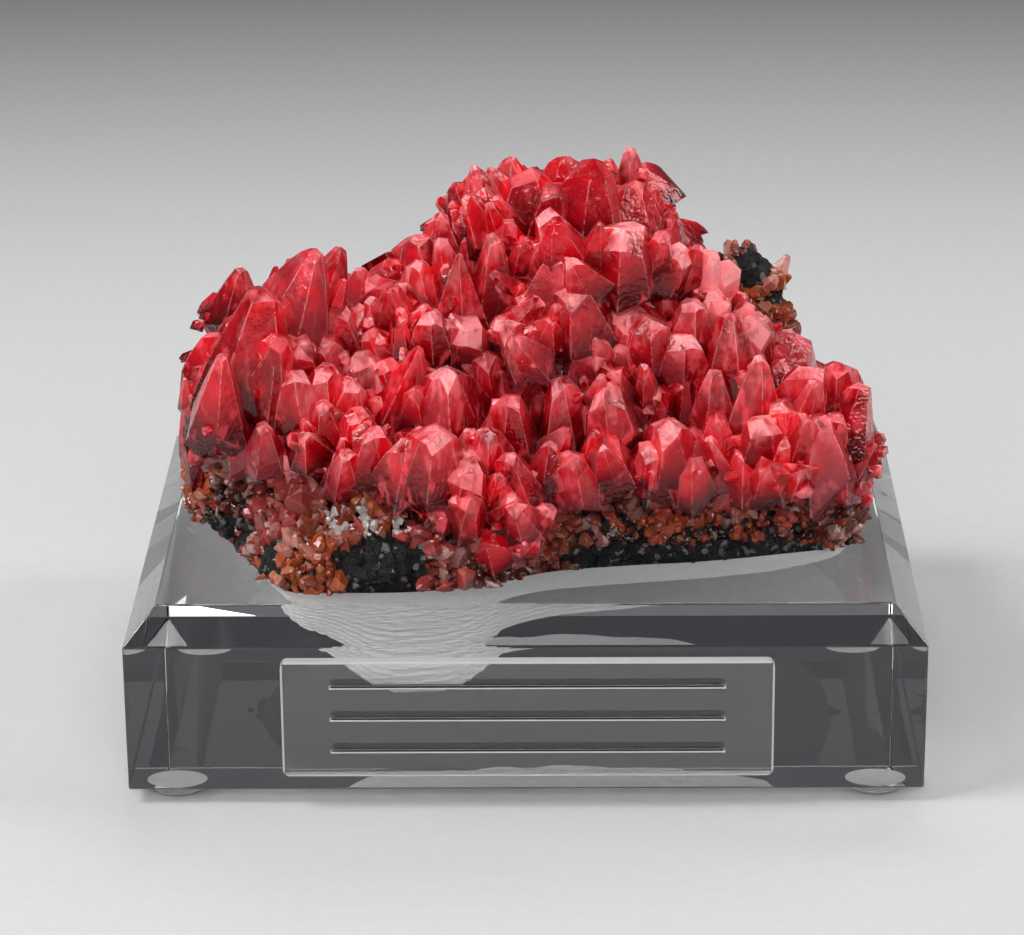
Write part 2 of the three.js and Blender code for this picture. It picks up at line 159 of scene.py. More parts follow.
def meshFrom(name, points, polygonSets):
    # points (n, 3) in mm; each polygon set is an array (count, corners)
    mesh = bpy.data.meshes.new(name)
    mesh.vertices.add(len(points))
    mesh.vertices.foreach_set("co", (np.asarray(points) * mm).astype(np.float32).ravel())
    corners = np.concatenate([np.asarray(p).ravel() for p in polygonSets]).astype(np.int32)
    sizes = np.concatenate([np.full(len(p), p.shape[1]) for p in polygonSets])
    starts = np.concatenate([[0], np.cumsum(sizes)[:-1]]).astype(np.int32)
    mesh.loops.add(len(corners))
    mesh.loops.foreach_set("vertex_index", corners)
    mesh.polygons.add(len(sizes))
    mesh.polygons.foreach_set("loop_start", starts)
    mesh.update(calc_edges=True)
    mesh.validate()
    piece = bpy.data.objects.new(name, mesh)
    bpy.context.scene.collection.objects.link(piece)
    return piece


def chance(i, k):
    # a repeatable value between 0 and 1 for item i of series k
    x = np.sin(np.asarray(i, float) * 12.9898 + k * 78.233 + 4.1) * 43758.5453
    return x - np.floor(x)


def unit(v):
    return v / np.linalg.norm(v, axis=-1, keepdims=True)


def hashOf(cell, k):
    # a repeatable value between 0 and 1 for each whole-numbered cell (…, 3)
    x = np.sin(cell @ np.array([127.1, 311.7, 74.7]) + k * 53.37) * 43758.5453
    return x - np.floor(x)


def cellField(points, size, k=0):
    # one random point in each cube of a lattice: the distance to the nearest, in cube sizes, and its own value
    scaled = points / size
    home = np.floor(scaled)
    best = np.full(len(points), np.inf)
    value = np.zeros(len(points))
    for dx in (-1, 0, 1):
        for dy in (-1, 0, 1):
            for dz in (-1, 0, 1):
                cell = home + (dx, dy, dz)
                spot = cell + np.stack([hashOf(cell, k), hashOf(cell, k + 1), hashOf(cell, k + 2)], -1)
                far = np.linalg.norm(spot - scaled, axis=1)
                nearer = far < best
                best = np.where(nearer, far, best)
                value = np.where(nearer, hashOf(cell, k + 3), value)
    return best, value


def softNoise(points, size, k=0):
    # lattice values blended smoothly between the eight corners of each cube, -1 to 1
    scaled = points / size
    home = np.floor(scaled)
    f = scaled - home
    f = f * f * (3 - 2 * f)
    total = np.zeros(len(points))
    for dx in (0, 1):
        for dy in (0, 1):
            for dz in (0, 1):
                share = (np.where(dx, f[:, 0], 1 - f[:, 0]) * np.where(dy, f[:, 1], 1 - f[:, 1])
                         * np.where(dz, f[:, 2], 1 - f[:, 2]))
                total += share * hashOf(home + (dx, dy, dz), k)
    return 2 * total - 1


def gridSets(levels, columns, count=1):
    # polygons of `count` closed grids, each `levels` rings of `columns` points, then a lower and an upper pole
    each = levels * columns + 2
    base = (np.arange(count) * each)[:, None, None]
    k = np.arange(columns)
    following = (k + 1) % columns
    row = np.arange(levels - 1)[:, None] * columns
    quads = np.stack([row + k, row + following, row + following + columns, row + k + columns], -1)
    top = (levels - 1) * columns
    upper = np.stack([top + k, top + following, 0 * k + each - 1], -1)
    lower = np.stack([following, k, 0 * k + each - 2], -1)
    return [(quads.reshape(1, -1, 4) + base).reshape(-1, 4), (upper[None] + base).reshape(-1, 3),
            (lower[None] + base).reshape(-1, 3)]


def ballPoints(centre, radii, rows=18, columns=32):
    # centre + radii * (sin a cos b, sin a sin b, -cos a)
    a = np.linspace(0, math.pi, rows + 2)[1:-1, None]
    b = np.arange(columns)[None] * 2 * math.pi / columns
    ball = np.stack([np.sin(a) * np.cos(b), np.sin(a) * np.sin(b), -np.cos(a) + 0 * b], -1).reshape(-1, 3)
    points = np.concatenate([ball, [[0, 0, -1], [0, 0, 1]]]) * radii + centre
    return points, gridSets(rows, columns)


def applied(piece):
    # the piece's mesh with its modifiers worked into it
    shown = piece.evaluated_get(bpy.context.evaluated_depsgraph_get())
    mesh = bpy.data.meshes.new_from_object(shown)
    piece.modifiers.clear()
    piece.data = mesh
    return piece


def joinSolids(pieces, operation="UNION"):
    # the first piece with each of the others joined to it, or cut from it, one after the other
    first = pieces[0]
    for other in pieces[1:]:
        join = first.modifiers.new("join", "BOOLEAN")
        join.operation = operation
        join.solver = "MANIFOLD"
        join.object = other
        applied(first)
        bpy.data.objects.remove(other)
    return first


def pointsOf(piece):
    co = np.zeros(len(piece.data.vertices) * 3, np.float32)
    piece.data.vertices.foreach_get("co", co)
    return co.reshape(-1, 3).astype(float) / mm


def normalsOf(piece):
    normals = np.zeros(len(piece.data.vertices) * 3, np.float32)
    piece.data.vertex_normals.foreach_get("vector", normals)
    return normals.reshape(-1, 3).astype(float)


def movePoints(piece, points):
    piece.data.vertices.foreach_set("co", (points * mm).astype(np.float32).ravel())
    piece.data.update()


def finishPiece(piece, material, node, sharp=None):
    # smooth shading up to a sharp angle in degrees, then the material, the root body it hangs from, and the imported
    # part hidden
    if sharp is None:
        piece.data.shade_flat()
    else:
        piece.data.shade_smooth()
        piece.data.set_sharp_from_angle(angle=math.radians(sharp))
    piece.data.materials.clear()
    piece.data.materials.append(material)
    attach(piece, "root")
    if node:
        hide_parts(node)
    return piece


# ---- the shape of the specimen ----

specimenLift = np.array([0, 0, topHeight])
frontEye = np.array([4.9, -491.5, 194.0])      # the listed crystals are placed as seen from here, block top at 0

# centre and radii of the lobes that the crystals grow out of
lobes = np.array([
    [[7, 2, 24], [18, 14.5, 20.5]],
    [[-14, -2, 16], [14, 14, 15.5]],
    [[-31, -6, 14], [11.8, 14, 15]],
    [[33, -3, 8], [11.8, 14, 11]],
    [[-10, -17, 6], [16, 10.5, 10.5]],
    [[12, -10, 6], [16, 10.5, 10.5]],
    [[-26, -19, 3], [8.5, 8.5, 8]],
    [[22, 0, 17], [11, 12, 14.5]],
], float)
rockHumps = np.array([
    [[2, 11, 12], [32, 14.5, 20]],
    [[27, 8, 19], [8, 8, 11]],
    [[29.6, 5.5, 31], [3, 3, 3.2]],
    [[31.8, 6, 26.5], [2.6, 3, 4]],
    [[-24, 6, 9], [18, 14, 13]],
    [[-37, -5, 4.5], [7.5, 11, 4.5]],
], float)


def farOf(points, shapes):
    # how far out of each ellipsoid a point is: 1 on its skin
    return np.linalg.norm((points[:, None] - shapes[None, :, 0]) / shapes[None, :, 1], axis=-1)


# ---- the red crystals ----

cluster = {
    # each row: foot (across, up), tip (across, up), lean to the front, width, how blunt the tip is, how milky it is
    "listed": {
        "leftLobe": [
            (-39, 26, -37.3, 34, 0, 5.5, 0.3, 0.2), (-38.5, 13, -34.5, 31, 3, 8.5, 0.5, 0.3),
            (-43, 10, -42, 21, 0, 5.5, 0.7, 0.4), (-32, 22, -27.3, 36.6, 2, 7.5, 0.2, 0.2),
            (-28.5, 25, -24, 36.7, 1, 6, 0.3, 0.2), (-32, 24, -31.5, 34.2, -2, 6.5, 0.6, 0.2),
            (-23, 27, -21.3, 34, -2, 5, 0.5, 0.5), (-30.3, 20.5, -30.3, 23.3, 6, 5, 0.95, 0.8),
            (-25.5, 20, -27, 24, 3, 5.5, 0.7, 0.3), (-23, 21, -24.8, 28.5, 2, 6, 0.5, 0.7),
            (-21, 22, -22, 29, 0, 5, 0.4, 0.5), (-22.5, 13, -21, 22, 3, 7, 0.6, 0.8),
            (-30, 12, -31, 19.5, 3, 6, 0.5, 0.8), (-18.5, 23, -20.5, 30, -1, 6, 0.5, 0.6),
            (-38, 7, -39, 15, 3, 5.5, 0.4, 0.3), (-43.5, 4, -44.8, 15, 0, 5, 0.6, 0.3),
            (-35, 6, -35, 12, 4, 5, 0.5, 0.4), (-26, 7, -27, 15, 5, 6, 0.4, 0.3),
            (-26.5, 14, -26.5, 20, 4, 6, 0.5, 0.5), (-35.5, 14, -33.5, 22, 4, 6, 0.5, 0.2),
            (-42.5, 16, -40.5, 25, 0, 5, 0.6, 0.4), (-35, 24, -35.5, 30, 1, 5.5, 0.5, 0.2),
            (-28, 30, -29, 33, -3, 5, 0.6, 0.4),
        ],
        "middleTop": [
            (-8, 24, -8.6, 35.7, 5, 7.5, 0.25, 0.4), (-4.5, 27, -4, 38.7, 4, 6, 0.45, 0.6),
            (-6, 39, -6.3, 48, 0, 4.5, 0.4, 0.5), (1, 39.5, -4.8, 47.5, 2, 3, 0.4, 0.8),
            (-5, 37, -5.3, 42.3, 2, 3.5, 0.3, 0.5), (-13, 28, -14.3, 34.8, 2, 5, 0.3, 0.8),
            (-14.5, 24, -16.8, 31.7, 2, 6, 0.4, 0.7), (-13, 22, -13.5, 28.8, 3, 6, 0.4, 0.4),
            (-13, 32, -14.5, 38.5, 0, 7, 0.6, 0.4), (-10.5, 35, -11, 41.5, 1, 6, 0.5, 0.5),
            (-8, 23, -8, 25.5, 6.5, 5.5, 0.95, 1.0), (1, 33, -1.3, 38.2, 3, 4.5, 0.5, 0.5),
            (-3, 24, 2.3, 29.7, 5, 5.5, 0.5, 0.6), (0.5, 39, 0.6, 47.5, 1, 7, 0.7, 0.2),
            (8, 37, 9, 48.5, 2, 8, 0.6, 0.0), (3, 38, 4, 45, 4, 6, 0.6, 0.1),
            (14, 43, 13.7, 50.3, 0, 4, 0.4, 0.8), (14.5, 37, 14.3, 45.8, 1, 7.5, 0.5, 0.3),
            (12.5, 30, 12.8, 39, 6, 7, 0.85, 0.9), (7, 33, 2.5, 41.5, 3, 6.5, 0.5, 0.7),
            (6.5, 23, 6, 31.5, 5, 8, 0.7, 0.6), (16, 37, 16.5, 45, 1, 4.5, 0.4, 0.3),
            (19, 33, 19.2, 41, 1, 4.6, 0.4, 0.3), (21.5, 29, 22, 36.5, 2, 4.5, 0.6, 0.7),
            (-17, 32, -17.5, 35.5, -1, 6, 0.6, 0.5), (21, 20, 22, 29, 4, 6, 0.7, 0.6),
            (4, 28, 5, 36, 5, 6, 0.6, 0.2), (-8, 43, -9.3, 45.5, 0, 4, 0.5, 0.4),
            (5, 43, 5.5, 49, 0, 5, 0.6, 0.1), (0, 32, 1, 37, 4, 4, 0.6, 0.6), (-1, 42, -2, 49, 0, 5, 0.6, 0.2),
        ],
        "middleLow": [
            (-18.5, 11, -14, 22.9, 4, 7, 0.1, 0.3), (-10, 10, -10.5, 20, 4, 8, 0.6, 0.8),
            (-13, 1, -12, 11.3, 5, 7, 0.8, 0.5), (-16.5, 2, -15.5, 9.5, 4, 6, 0.6, 0.4),
            (-0.5, 0, -2.5, 7.5, 4, 6, 0.5, 0.5), (-2, 8, -2, 16, 5, 6, 0.5, 0.3),
            (-8, 2, -8, 5, 6, 5.5, 0.9, 0.6), (-8, -2, -7.5, 1.5, 5, 5, 0.7, 0.3),
            (1, 11, 1, 18, 4, 5.5, 0.5, 0.4), (-24, 3, -25, 8, 5, 5.5, 0.5, 0.6),
            (-3, -2.5, -2.5, 2, 4, 4.5, 0.6, 0.4), (-17, 16, -19, 21, 3, 5, 0.5, 0.3),
            (-5, 16, -5.5, 22, 4, 5.5, 0.6, 0.5), (-20, 5, -20.5, 11, 5, 6, 0.5, 0.5),
            (-5, 5, -5, 11, 5, 5, 0.6, 0.6),
        ],
        "middleRight": [
            (8.5, 18, 9, 25, 4, 5.5, 0.5, 0.5), (12.5, 18, 12.5, 23, 4, 5, 0.5, 0.5),
            (16, 19, 16, 27, 5, 6, 0.8, 0.5), (20, 18, 20.7, 24.2, 5, 5, 0.8, 0.8),
            (12.5, 12, 15.5, 19, 4, 4.5, 0.3, 0.9), (12.5, 8, 10.5, 17.5, 4, 6.5, 0.7, 0.8),
            (5.3, 9, 4.5, 18.5, 5, 6, 0.6, 0.5), (19, 4, 19, 12, 5, 6.5, 0.7, 0.6),
            (19, 12, 20.6, 19, 3, 4, 0.5, 0.1), (6, 1.5, 6, 7.5, 4, 7, 0.6, 0.3),
            (12, 4, 10.5, 10, 4, 6, 0.5, 0.1), (17, 3, 16.5, 8.5, 4, 6, 0.6, 0.4), (8, 10, 8, 15, 4, 5, 0.6, 0.3),
            (23, 5, 22, 11, 4, 5, 0.6, 0.4), (24, 14, 23.5, 20, 2, 4, 0.5, 0.2),
        ],
        "rightLobe": [
            (26.5, 16, 27, 27.5, 3, 7, 0.3, 0.5), (24.8, 7, 25, 19.5, 4, 6, 0.35, 0.4),
            (29.5, 8, 31, 21.5, 4, 6, 0.25, 0.4), (34, 16, 36, 24.5, 1, 7, 0.6, 0.4),
            (36, 11, 38, 19.8, 3, 7, 0.6, 0.4), (26, 5, 25.5, 13.5, 5, 6, 0.5, 0.1),
            (31, 5, 31.5, 12.5, 6, 5.5, 0.8, 0.8), (34.5, 3.5, 35, 10, 4, 6, 0.5, 0.3),
            (39.5, 2.5, 38.5, 12.5, 4, 7.5, 0.6, 0.4), (42.5, 7, 44.8, 17.5, 1, 6, 0.6, 0.4),
            (41, 12, 41.3, 20.5, 1, 6, 0.6, 0.4), (42.5, 3, 46.4, 9, 2, 5, 0.5, 0.4),
            (41.5, 2, 42.3, 7.5, 3, 5.5, 0.6, 0.3), (30, 20, 31, 26, 1, 5.5, 0.8, 0.6),
            (43.8, 2.5, 45.3, 6, 1, 4, 0.5, 0.3), (34, 7, 34, 15, 4, 6, 0.6, 0.3), (29, 2, 29, 8, 4, 6, 0.5, 0.2),
            (22, 2, 22, 7, 4, 5.5, 0.5, 0.2), (23, 29, 24, 35.6, 5, 5, 0.85, 1.5),
            (25, 30, 27, 33.5, 5, 4, 0.9, 1.5), (23, 26, 25, 30.5, 3, 5, 0.9, 1.4),
            (29, 22, 30.5, 26, 3, 4.5, 0.9, 1.2), (33, 20, 35, 24, 3, 5, 0.9, 1.1),
        ],
    },
    "listedWiden": 1.5,      # the widths above are of what shows between the neighbours
    "buried": 2.2,           # how deep a crystal's foot lies in its lobe
    # crystals grown nearly parallel beside each listed one; pairs are the least and the most
    "companions": {"count": 3, "length": (0.45, 0.9), "width": (0.45, 0.85), "spread": 0.42, "splay": 0.4},
    # passes over the lobes: spacing, length above the skin, width (mm)
    "coarse": {"spacing": 4.3, "length": (1.0, 4.6), "width": (7.0, 12.0)},
    "fine": {"spacing": 2.5, "length": (0.5, 2.4), "width": (3.6, 6.4)},
    # small ones on the sides of those wider than the least
    "overgrown": {"least": 5.0, "count": 2, "length": (0.8, 3.0), "width": (1.5, 3.4)},
    "lobeShrink": 1.2,       # how far the lobes' own skin lies below the crystals' feet
    "lowestBehind": 3.5,     # how far above the block the crystals begin at the back
    "lowestTip": 2.0,
    # the lower edge of the red crystals, as seen from the front: across, up
    "lowerEdge": np.array([
        [-48, 4], [-43, 8], [-38, 7.5], [-34, 6], [-30, 4.5], [-26, 3], [-20, 1.5], [-16, 1], [-12, -2.5],
        [-6, -5.5], [0, -7], [3.5, -4], [6, 1], [12, 2.6], [20, 2.8], [30, 2.6], [38, 1.6], [43, 0.2], [48, 1],
    ]),
    # the highest that the tips reach, as seen from the front: across, up
    "skyline": np.array([
        [-46, 18], [-44, 26], [-40, 33], [-37, 34.5], [-31, 36], [-24, 37], [-21, 34.5], [-18, 34], [-15, 38.5],
        [-12, 43], [-9, 46.5], [-6, 48.5], [0, 49.5], [14, 50], [16, 47], [19, 43.5], [23, 37], [27, 33.5],
        [31, 28.5], [35, 25.5], [41, 21.5], [45, 18], [48, 10],
    ]),
    "sides": (-46.4, 48.3),  # and how far they reach to the left and right
    "colours": {
        "deepDark": (0.36, 0.0001, 0.004), "deepBright": (0.82, 0.002, 0.013), "cloud": (0.92, 0.008, 0.021),
        # shade is painted shade laid on some faces; foot is painted shade at the crystals' feet, where little light
        # reaches
        "shade": (0.05, 0.0, 0.001), "foot": (0.07, 0.0001, 0.001), "veil": (0.90, 0.085, 0.11),
        # the pale edge colour is partly real wear and partly a painted highlight where the edges catch the light
        "frost": (0.48, 0.085, 0.105), "milk": (0.93, 0.33, 0.35), "worn": (0.96, 0.62, 0.60),
        "glass": (1.0, 0.40, 0.46), "absorbed": (0.93, 0.05, 0.12),
    },
}
# one crystal: heights are shares of its length, distances from its axis are shares of half its width, and pairs are
# a least value and what chance adds to it
form = {
    "skew": 0.30,            # how unequal the angles between the ribs are
    "uneven": 0.28,          # how unequal the ribs' distances from the axis are
    "belt": 0.24,            # height of the widest part
    "zigzag": (0.04, 0.10),  # how far the belt goes up and down
    "swell": (1.0, 0.45), "draw": (1.0, -0.2),       # the powers p and q of the outline
    "cut": (0.03, 0.34),     # how much of the end is missing: always, and more on the bluntest
    "endSlope": (0.45, 0.5),
    "slim": (0.78, 0.22),    # depth to width
    "rootWidth": 0.55, "rootDrop": 0.18,
    "bigRings": (0.0, 0.3, 0.55, 0.8, 1.0), "smallRings": (0.0, 0.5, 1.0), "bigWidth": 4.2,
}


def lobeHits(across, up):
    # where the eye line through (across, 0, up) first meets a lobe, or comes nearest to one: the root of
    # |(eye + t d - centre) / radii| = 1
    d = np.stack([across, 0 * across, up], -1) - frontEye
    start = (frontEye - lobes[:, 0]) / lobes[:, 1]
    step = d[:, None, :] / lobes[None, :, 1]
    a = (step ** 2).sum(-1)
    b = (step * start[None]).sum(-1)
    gap = (start ** 2).sum(-1)[None] - b ** 2 / a
    meets = gap < 1
    hit = np.where(meets, (-b - np.sqrt(np.maximum(a * (1 - gap), 0))) / a, np.inf)
    nearest = np.take_along_axis(-b / a, np.argmin(gap, 1)[:, None], 1)[:, 0]
    return frontEye + d * np.where(meets.any(1), hit.min(1), nearest)[:, None]


def seenPoints(across, up, depth):
    # the point on the eye line through (across, 0, up) at a given depth behind the middle plane
    onPlane = np.stack([across, 0 * across, up], -1)
    line = onPlane - frontEye
    return onPlane + line * (depth / line[:, 1])[:, None]


def between(limits, share):
    return limits[0] + (limits[1] - limits[0]) * share


def upTo(pair, share):
    return pair[0] + pair[1] * share


def listedCrystals():
    rows = np.array([row for group in cluster["listed"].values() for row in group], float)
    skin = lobeHits(rows[:, 0], rows[:, 1])
    tip = seenPoints(rows[:, 2], rows[:, 3], skin[:, 1] - rows[:, 4])
    foot = skin + unit(skin - tip) * cluster["buried"]
    return {"skin": skin, "foot": foot, "tip": tip, "width": rows[:, 5] * cluster["listedWiden"],
            "blunt": rows[:, 6], "milk": rows[:, 7]}


def companionCrystals(large):
    # shorter crystals grown nearly parallel beside each large one
    companions, made = cluster["companions"], []
    for turn in range(companions["count"]):
        i = np.arange(len(large["foot"]))
        axis = large["tip"] - large["foot"]
        angle = 2 * math.pi * chance(i, 20 + turn)
        side = unit(np.cross(axis, np.array([0.2, 0.9, 0.1])))
        other = unit(np.cross(axis, side))
        shift = (np.cos(angle)[:, None] * side + np.sin(angle)[:, None] * other) * large["width"][:, None]
        foot = large["foot"] + shift * companions["spread"]
        share = between(companions["length"], chance(i, 24 + turn))[:, None]
        made.append({"skin": foot, "foot": foot, "tip": foot + axis * share + shift * companions["splay"],
                     "width": large["width"] * between(companions["width"], chance(i, 28 + turn)),
                     "blunt": 0.3 + 0.6 * chance(i, 32 + turn), "milk": large["milk"]})
    return made


def sideCrystals(hosts):
    # small crystals that stand on the sloping sides of the wide ones
    overgrown, made = cluster["overgrown"], []
    wide = hosts["width"] > overgrown["least"]
    hosts = {key: value[wide] for key, value in hosts.items()}
    for turn in range(overgrown["count"]):
        i = np.arange(len(hosts["foot"])) + 3000 + 500 * turn
        axis = hosts["tip"] - hosts["foot"]
        angle = 2 * math.pi * chance(i, 61)
        side = unit(np.cross(axis, np.array([0.2, 0.9, 0.1])))
        other = unit(np.cross(axis, side))
        out = np.cos(angle)[:, None] * side + np.sin(angle)[:, None] * other
        share = 0.3 + 0.5 * chance(i, 62)
        wide = 0.5 * hosts["width"] * (1 - share) * 0.95
        place = hosts["foot"] + axis * share[:, None] + out * wide[:, None]
        wander = np.stack([chance(i, 63), chance(i, 64), chance(i, 65)], -1) - 0.5
        lean = unit(unit(axis) * 0.7 + out * 0.8 + 0.9 * wander)
        width = between(overgrown["width"], chance(i, 66) ** 1.5)
        made.append({"skin": place, "foot": place - lean * 1.2, "tip": place + lean * between(overgrown["length"],
                     chance(i, 67) ** 1.3)[:, None], "width": width, "blunt": chance(i, 68),
                     "milk": chance(i, 69)})
    return made


def seenFrom(points):
    # where the eye line to a point crosses the middle plane: across, up
    line = points - frontEye
    onPlane = frontEye - line * (frontEye[1] / line[:, 1])[:, None]
    return onPlane[:, 0], onPlane[:, 2]


def spiralPoints(centre, radii, spacing, start):
    # golden-angle spiral over an ellipsoid: the points and their outward normals
    area = 4 * math.pi * (radii[0] * radii[1] + radii[1] * radii[2] + radii[0] * radii[2]) / 3
    i = np.arange(int(area / spacing ** 2))
    z = 1 - 2 * (i + 0.5) / len(i)
    angle = i * math.pi * (3 - math.sqrt(5)) + start
    ball = np.stack([np.sqrt(1 - z * z) * np.cos(angle), np.sqrt(1 - z * z) * np.sin(angle), z], -1)
    return centre + ball * radii, unit(ball / radii)


def openSkin(spacing):
    # spiral points on every lobe, less those inside another lobe or the rock
    points, normals = [], []
    for index, (centre, radii) in enumerate(lobes):
        skin, outwards = spiralPoints(centre, radii, spacing, index)
        far = farOf(skin, lobes)
        far[:, index] = np.inf
        free = (far >= 1).all(1) & (farOf(skin, rockHumps) >= 1).all(1)
        points.append(skin[free])
        normals.append(outwards[free])
    return np.concatenate(points), np.concatenate(normals)


def thinned(points, gaps, planted):
    # keeps each point that is at least its own gap from those kept before it
    spots = np.concatenate([planted, np.zeros_like(points)])
    count, kept = len(planted), []
    for k in range(len(points)):
        if np.min(((spots[:count] - points[k]) ** 2).sum(1)) >= gaps[k] ** 2:
            spots[count] = points[k]
            count += 1
            kept.append(k)
    return np.array(kept), spots[:count]


def aboveEdge(points, normals):
    # in front the red ends at its seen lower edge, and behind at a set height
    across, up = seenFrom(points)
    facing = (normals * (frontEye - points)).sum(1) > 0
    above = up > np.interp(across, *cluster["lowerEdge"].T) + 0.6
    return np.where(facing, above, points[:, 2] > cluster["lowestBehind"])


def insideOutline(points):
    # nothing stands out at the sides or, in front, hangs below the red crystals' lower edge
    across, up = seenFrom(points)
    centre = lobes[np.argmin(farOf(points, lobes), 1), 0]
    facing = ((points - centre) * (frontEye - points)).sum(1) > 0
    low = up < np.interp(across, *cluster["lowerEdge"].T) - 0.3
    tall = up > np.interp(across, *cluster["skyline"].T)
    left, right = cluster["sides"]
    return (across > left) & (across < right) & ~(facing & low) & ~tall & (points[:, 2] > cluster["lowestTip"])


def sideRoom(points):
    # the width that a crystal there may have without standing out at the sides
    across, _ = seenFrom(points)
    left, right = cluster["sides"]
    return 2 * np.maximum(np.minimum(across - left, right - across), 1.0)


def fillingCrystals(planted):
    made = []
    for turn, name in enumerate(("coarse", "fine")):
        size = cluster[name]
        skin, outwards = openSkin(size["spacing"] * 0.55)
        fits = aboveEdge(skin, outwards)
        skin, outwards = skin[fits], outwards[fits]
        i = np.arange(len(skin))
        scale = (0.62 + 0.38 * np.clip((skin[:, 2] - 2) / 14, 0, 1)) * (0.7 + 0.6 * chance(i, turn + 40))
        kept, planted = thinned(skin, 0.72 * size["spacing"] * scale, planted)
        skin, outwards, scale = skin[kept], outwards[kept], scale[kept]
        i = np.arange(len(skin)) + 1000 * turn
        wander = np.stack([chance(i, 43), chance(i, 44), chance(i, 45)], -1) - 0.5
        lean = unit(outwards * 0.85 + np.array([0, -0.1, 0.35]) + 1.25 * wander)
        length = between(size["length"], chance(i, 50) ** 1.5) * scale
        made.append({"skin": skin, "foot": skin - lean * cluster["buried"], "tip": skin + lean * length[:, None],
                     "width": between(size["width"], chance(i, 60)) * scale, "blunt": chance(i, 70),
                     "milk": chance(i, 80) ** 1.5})
    return made


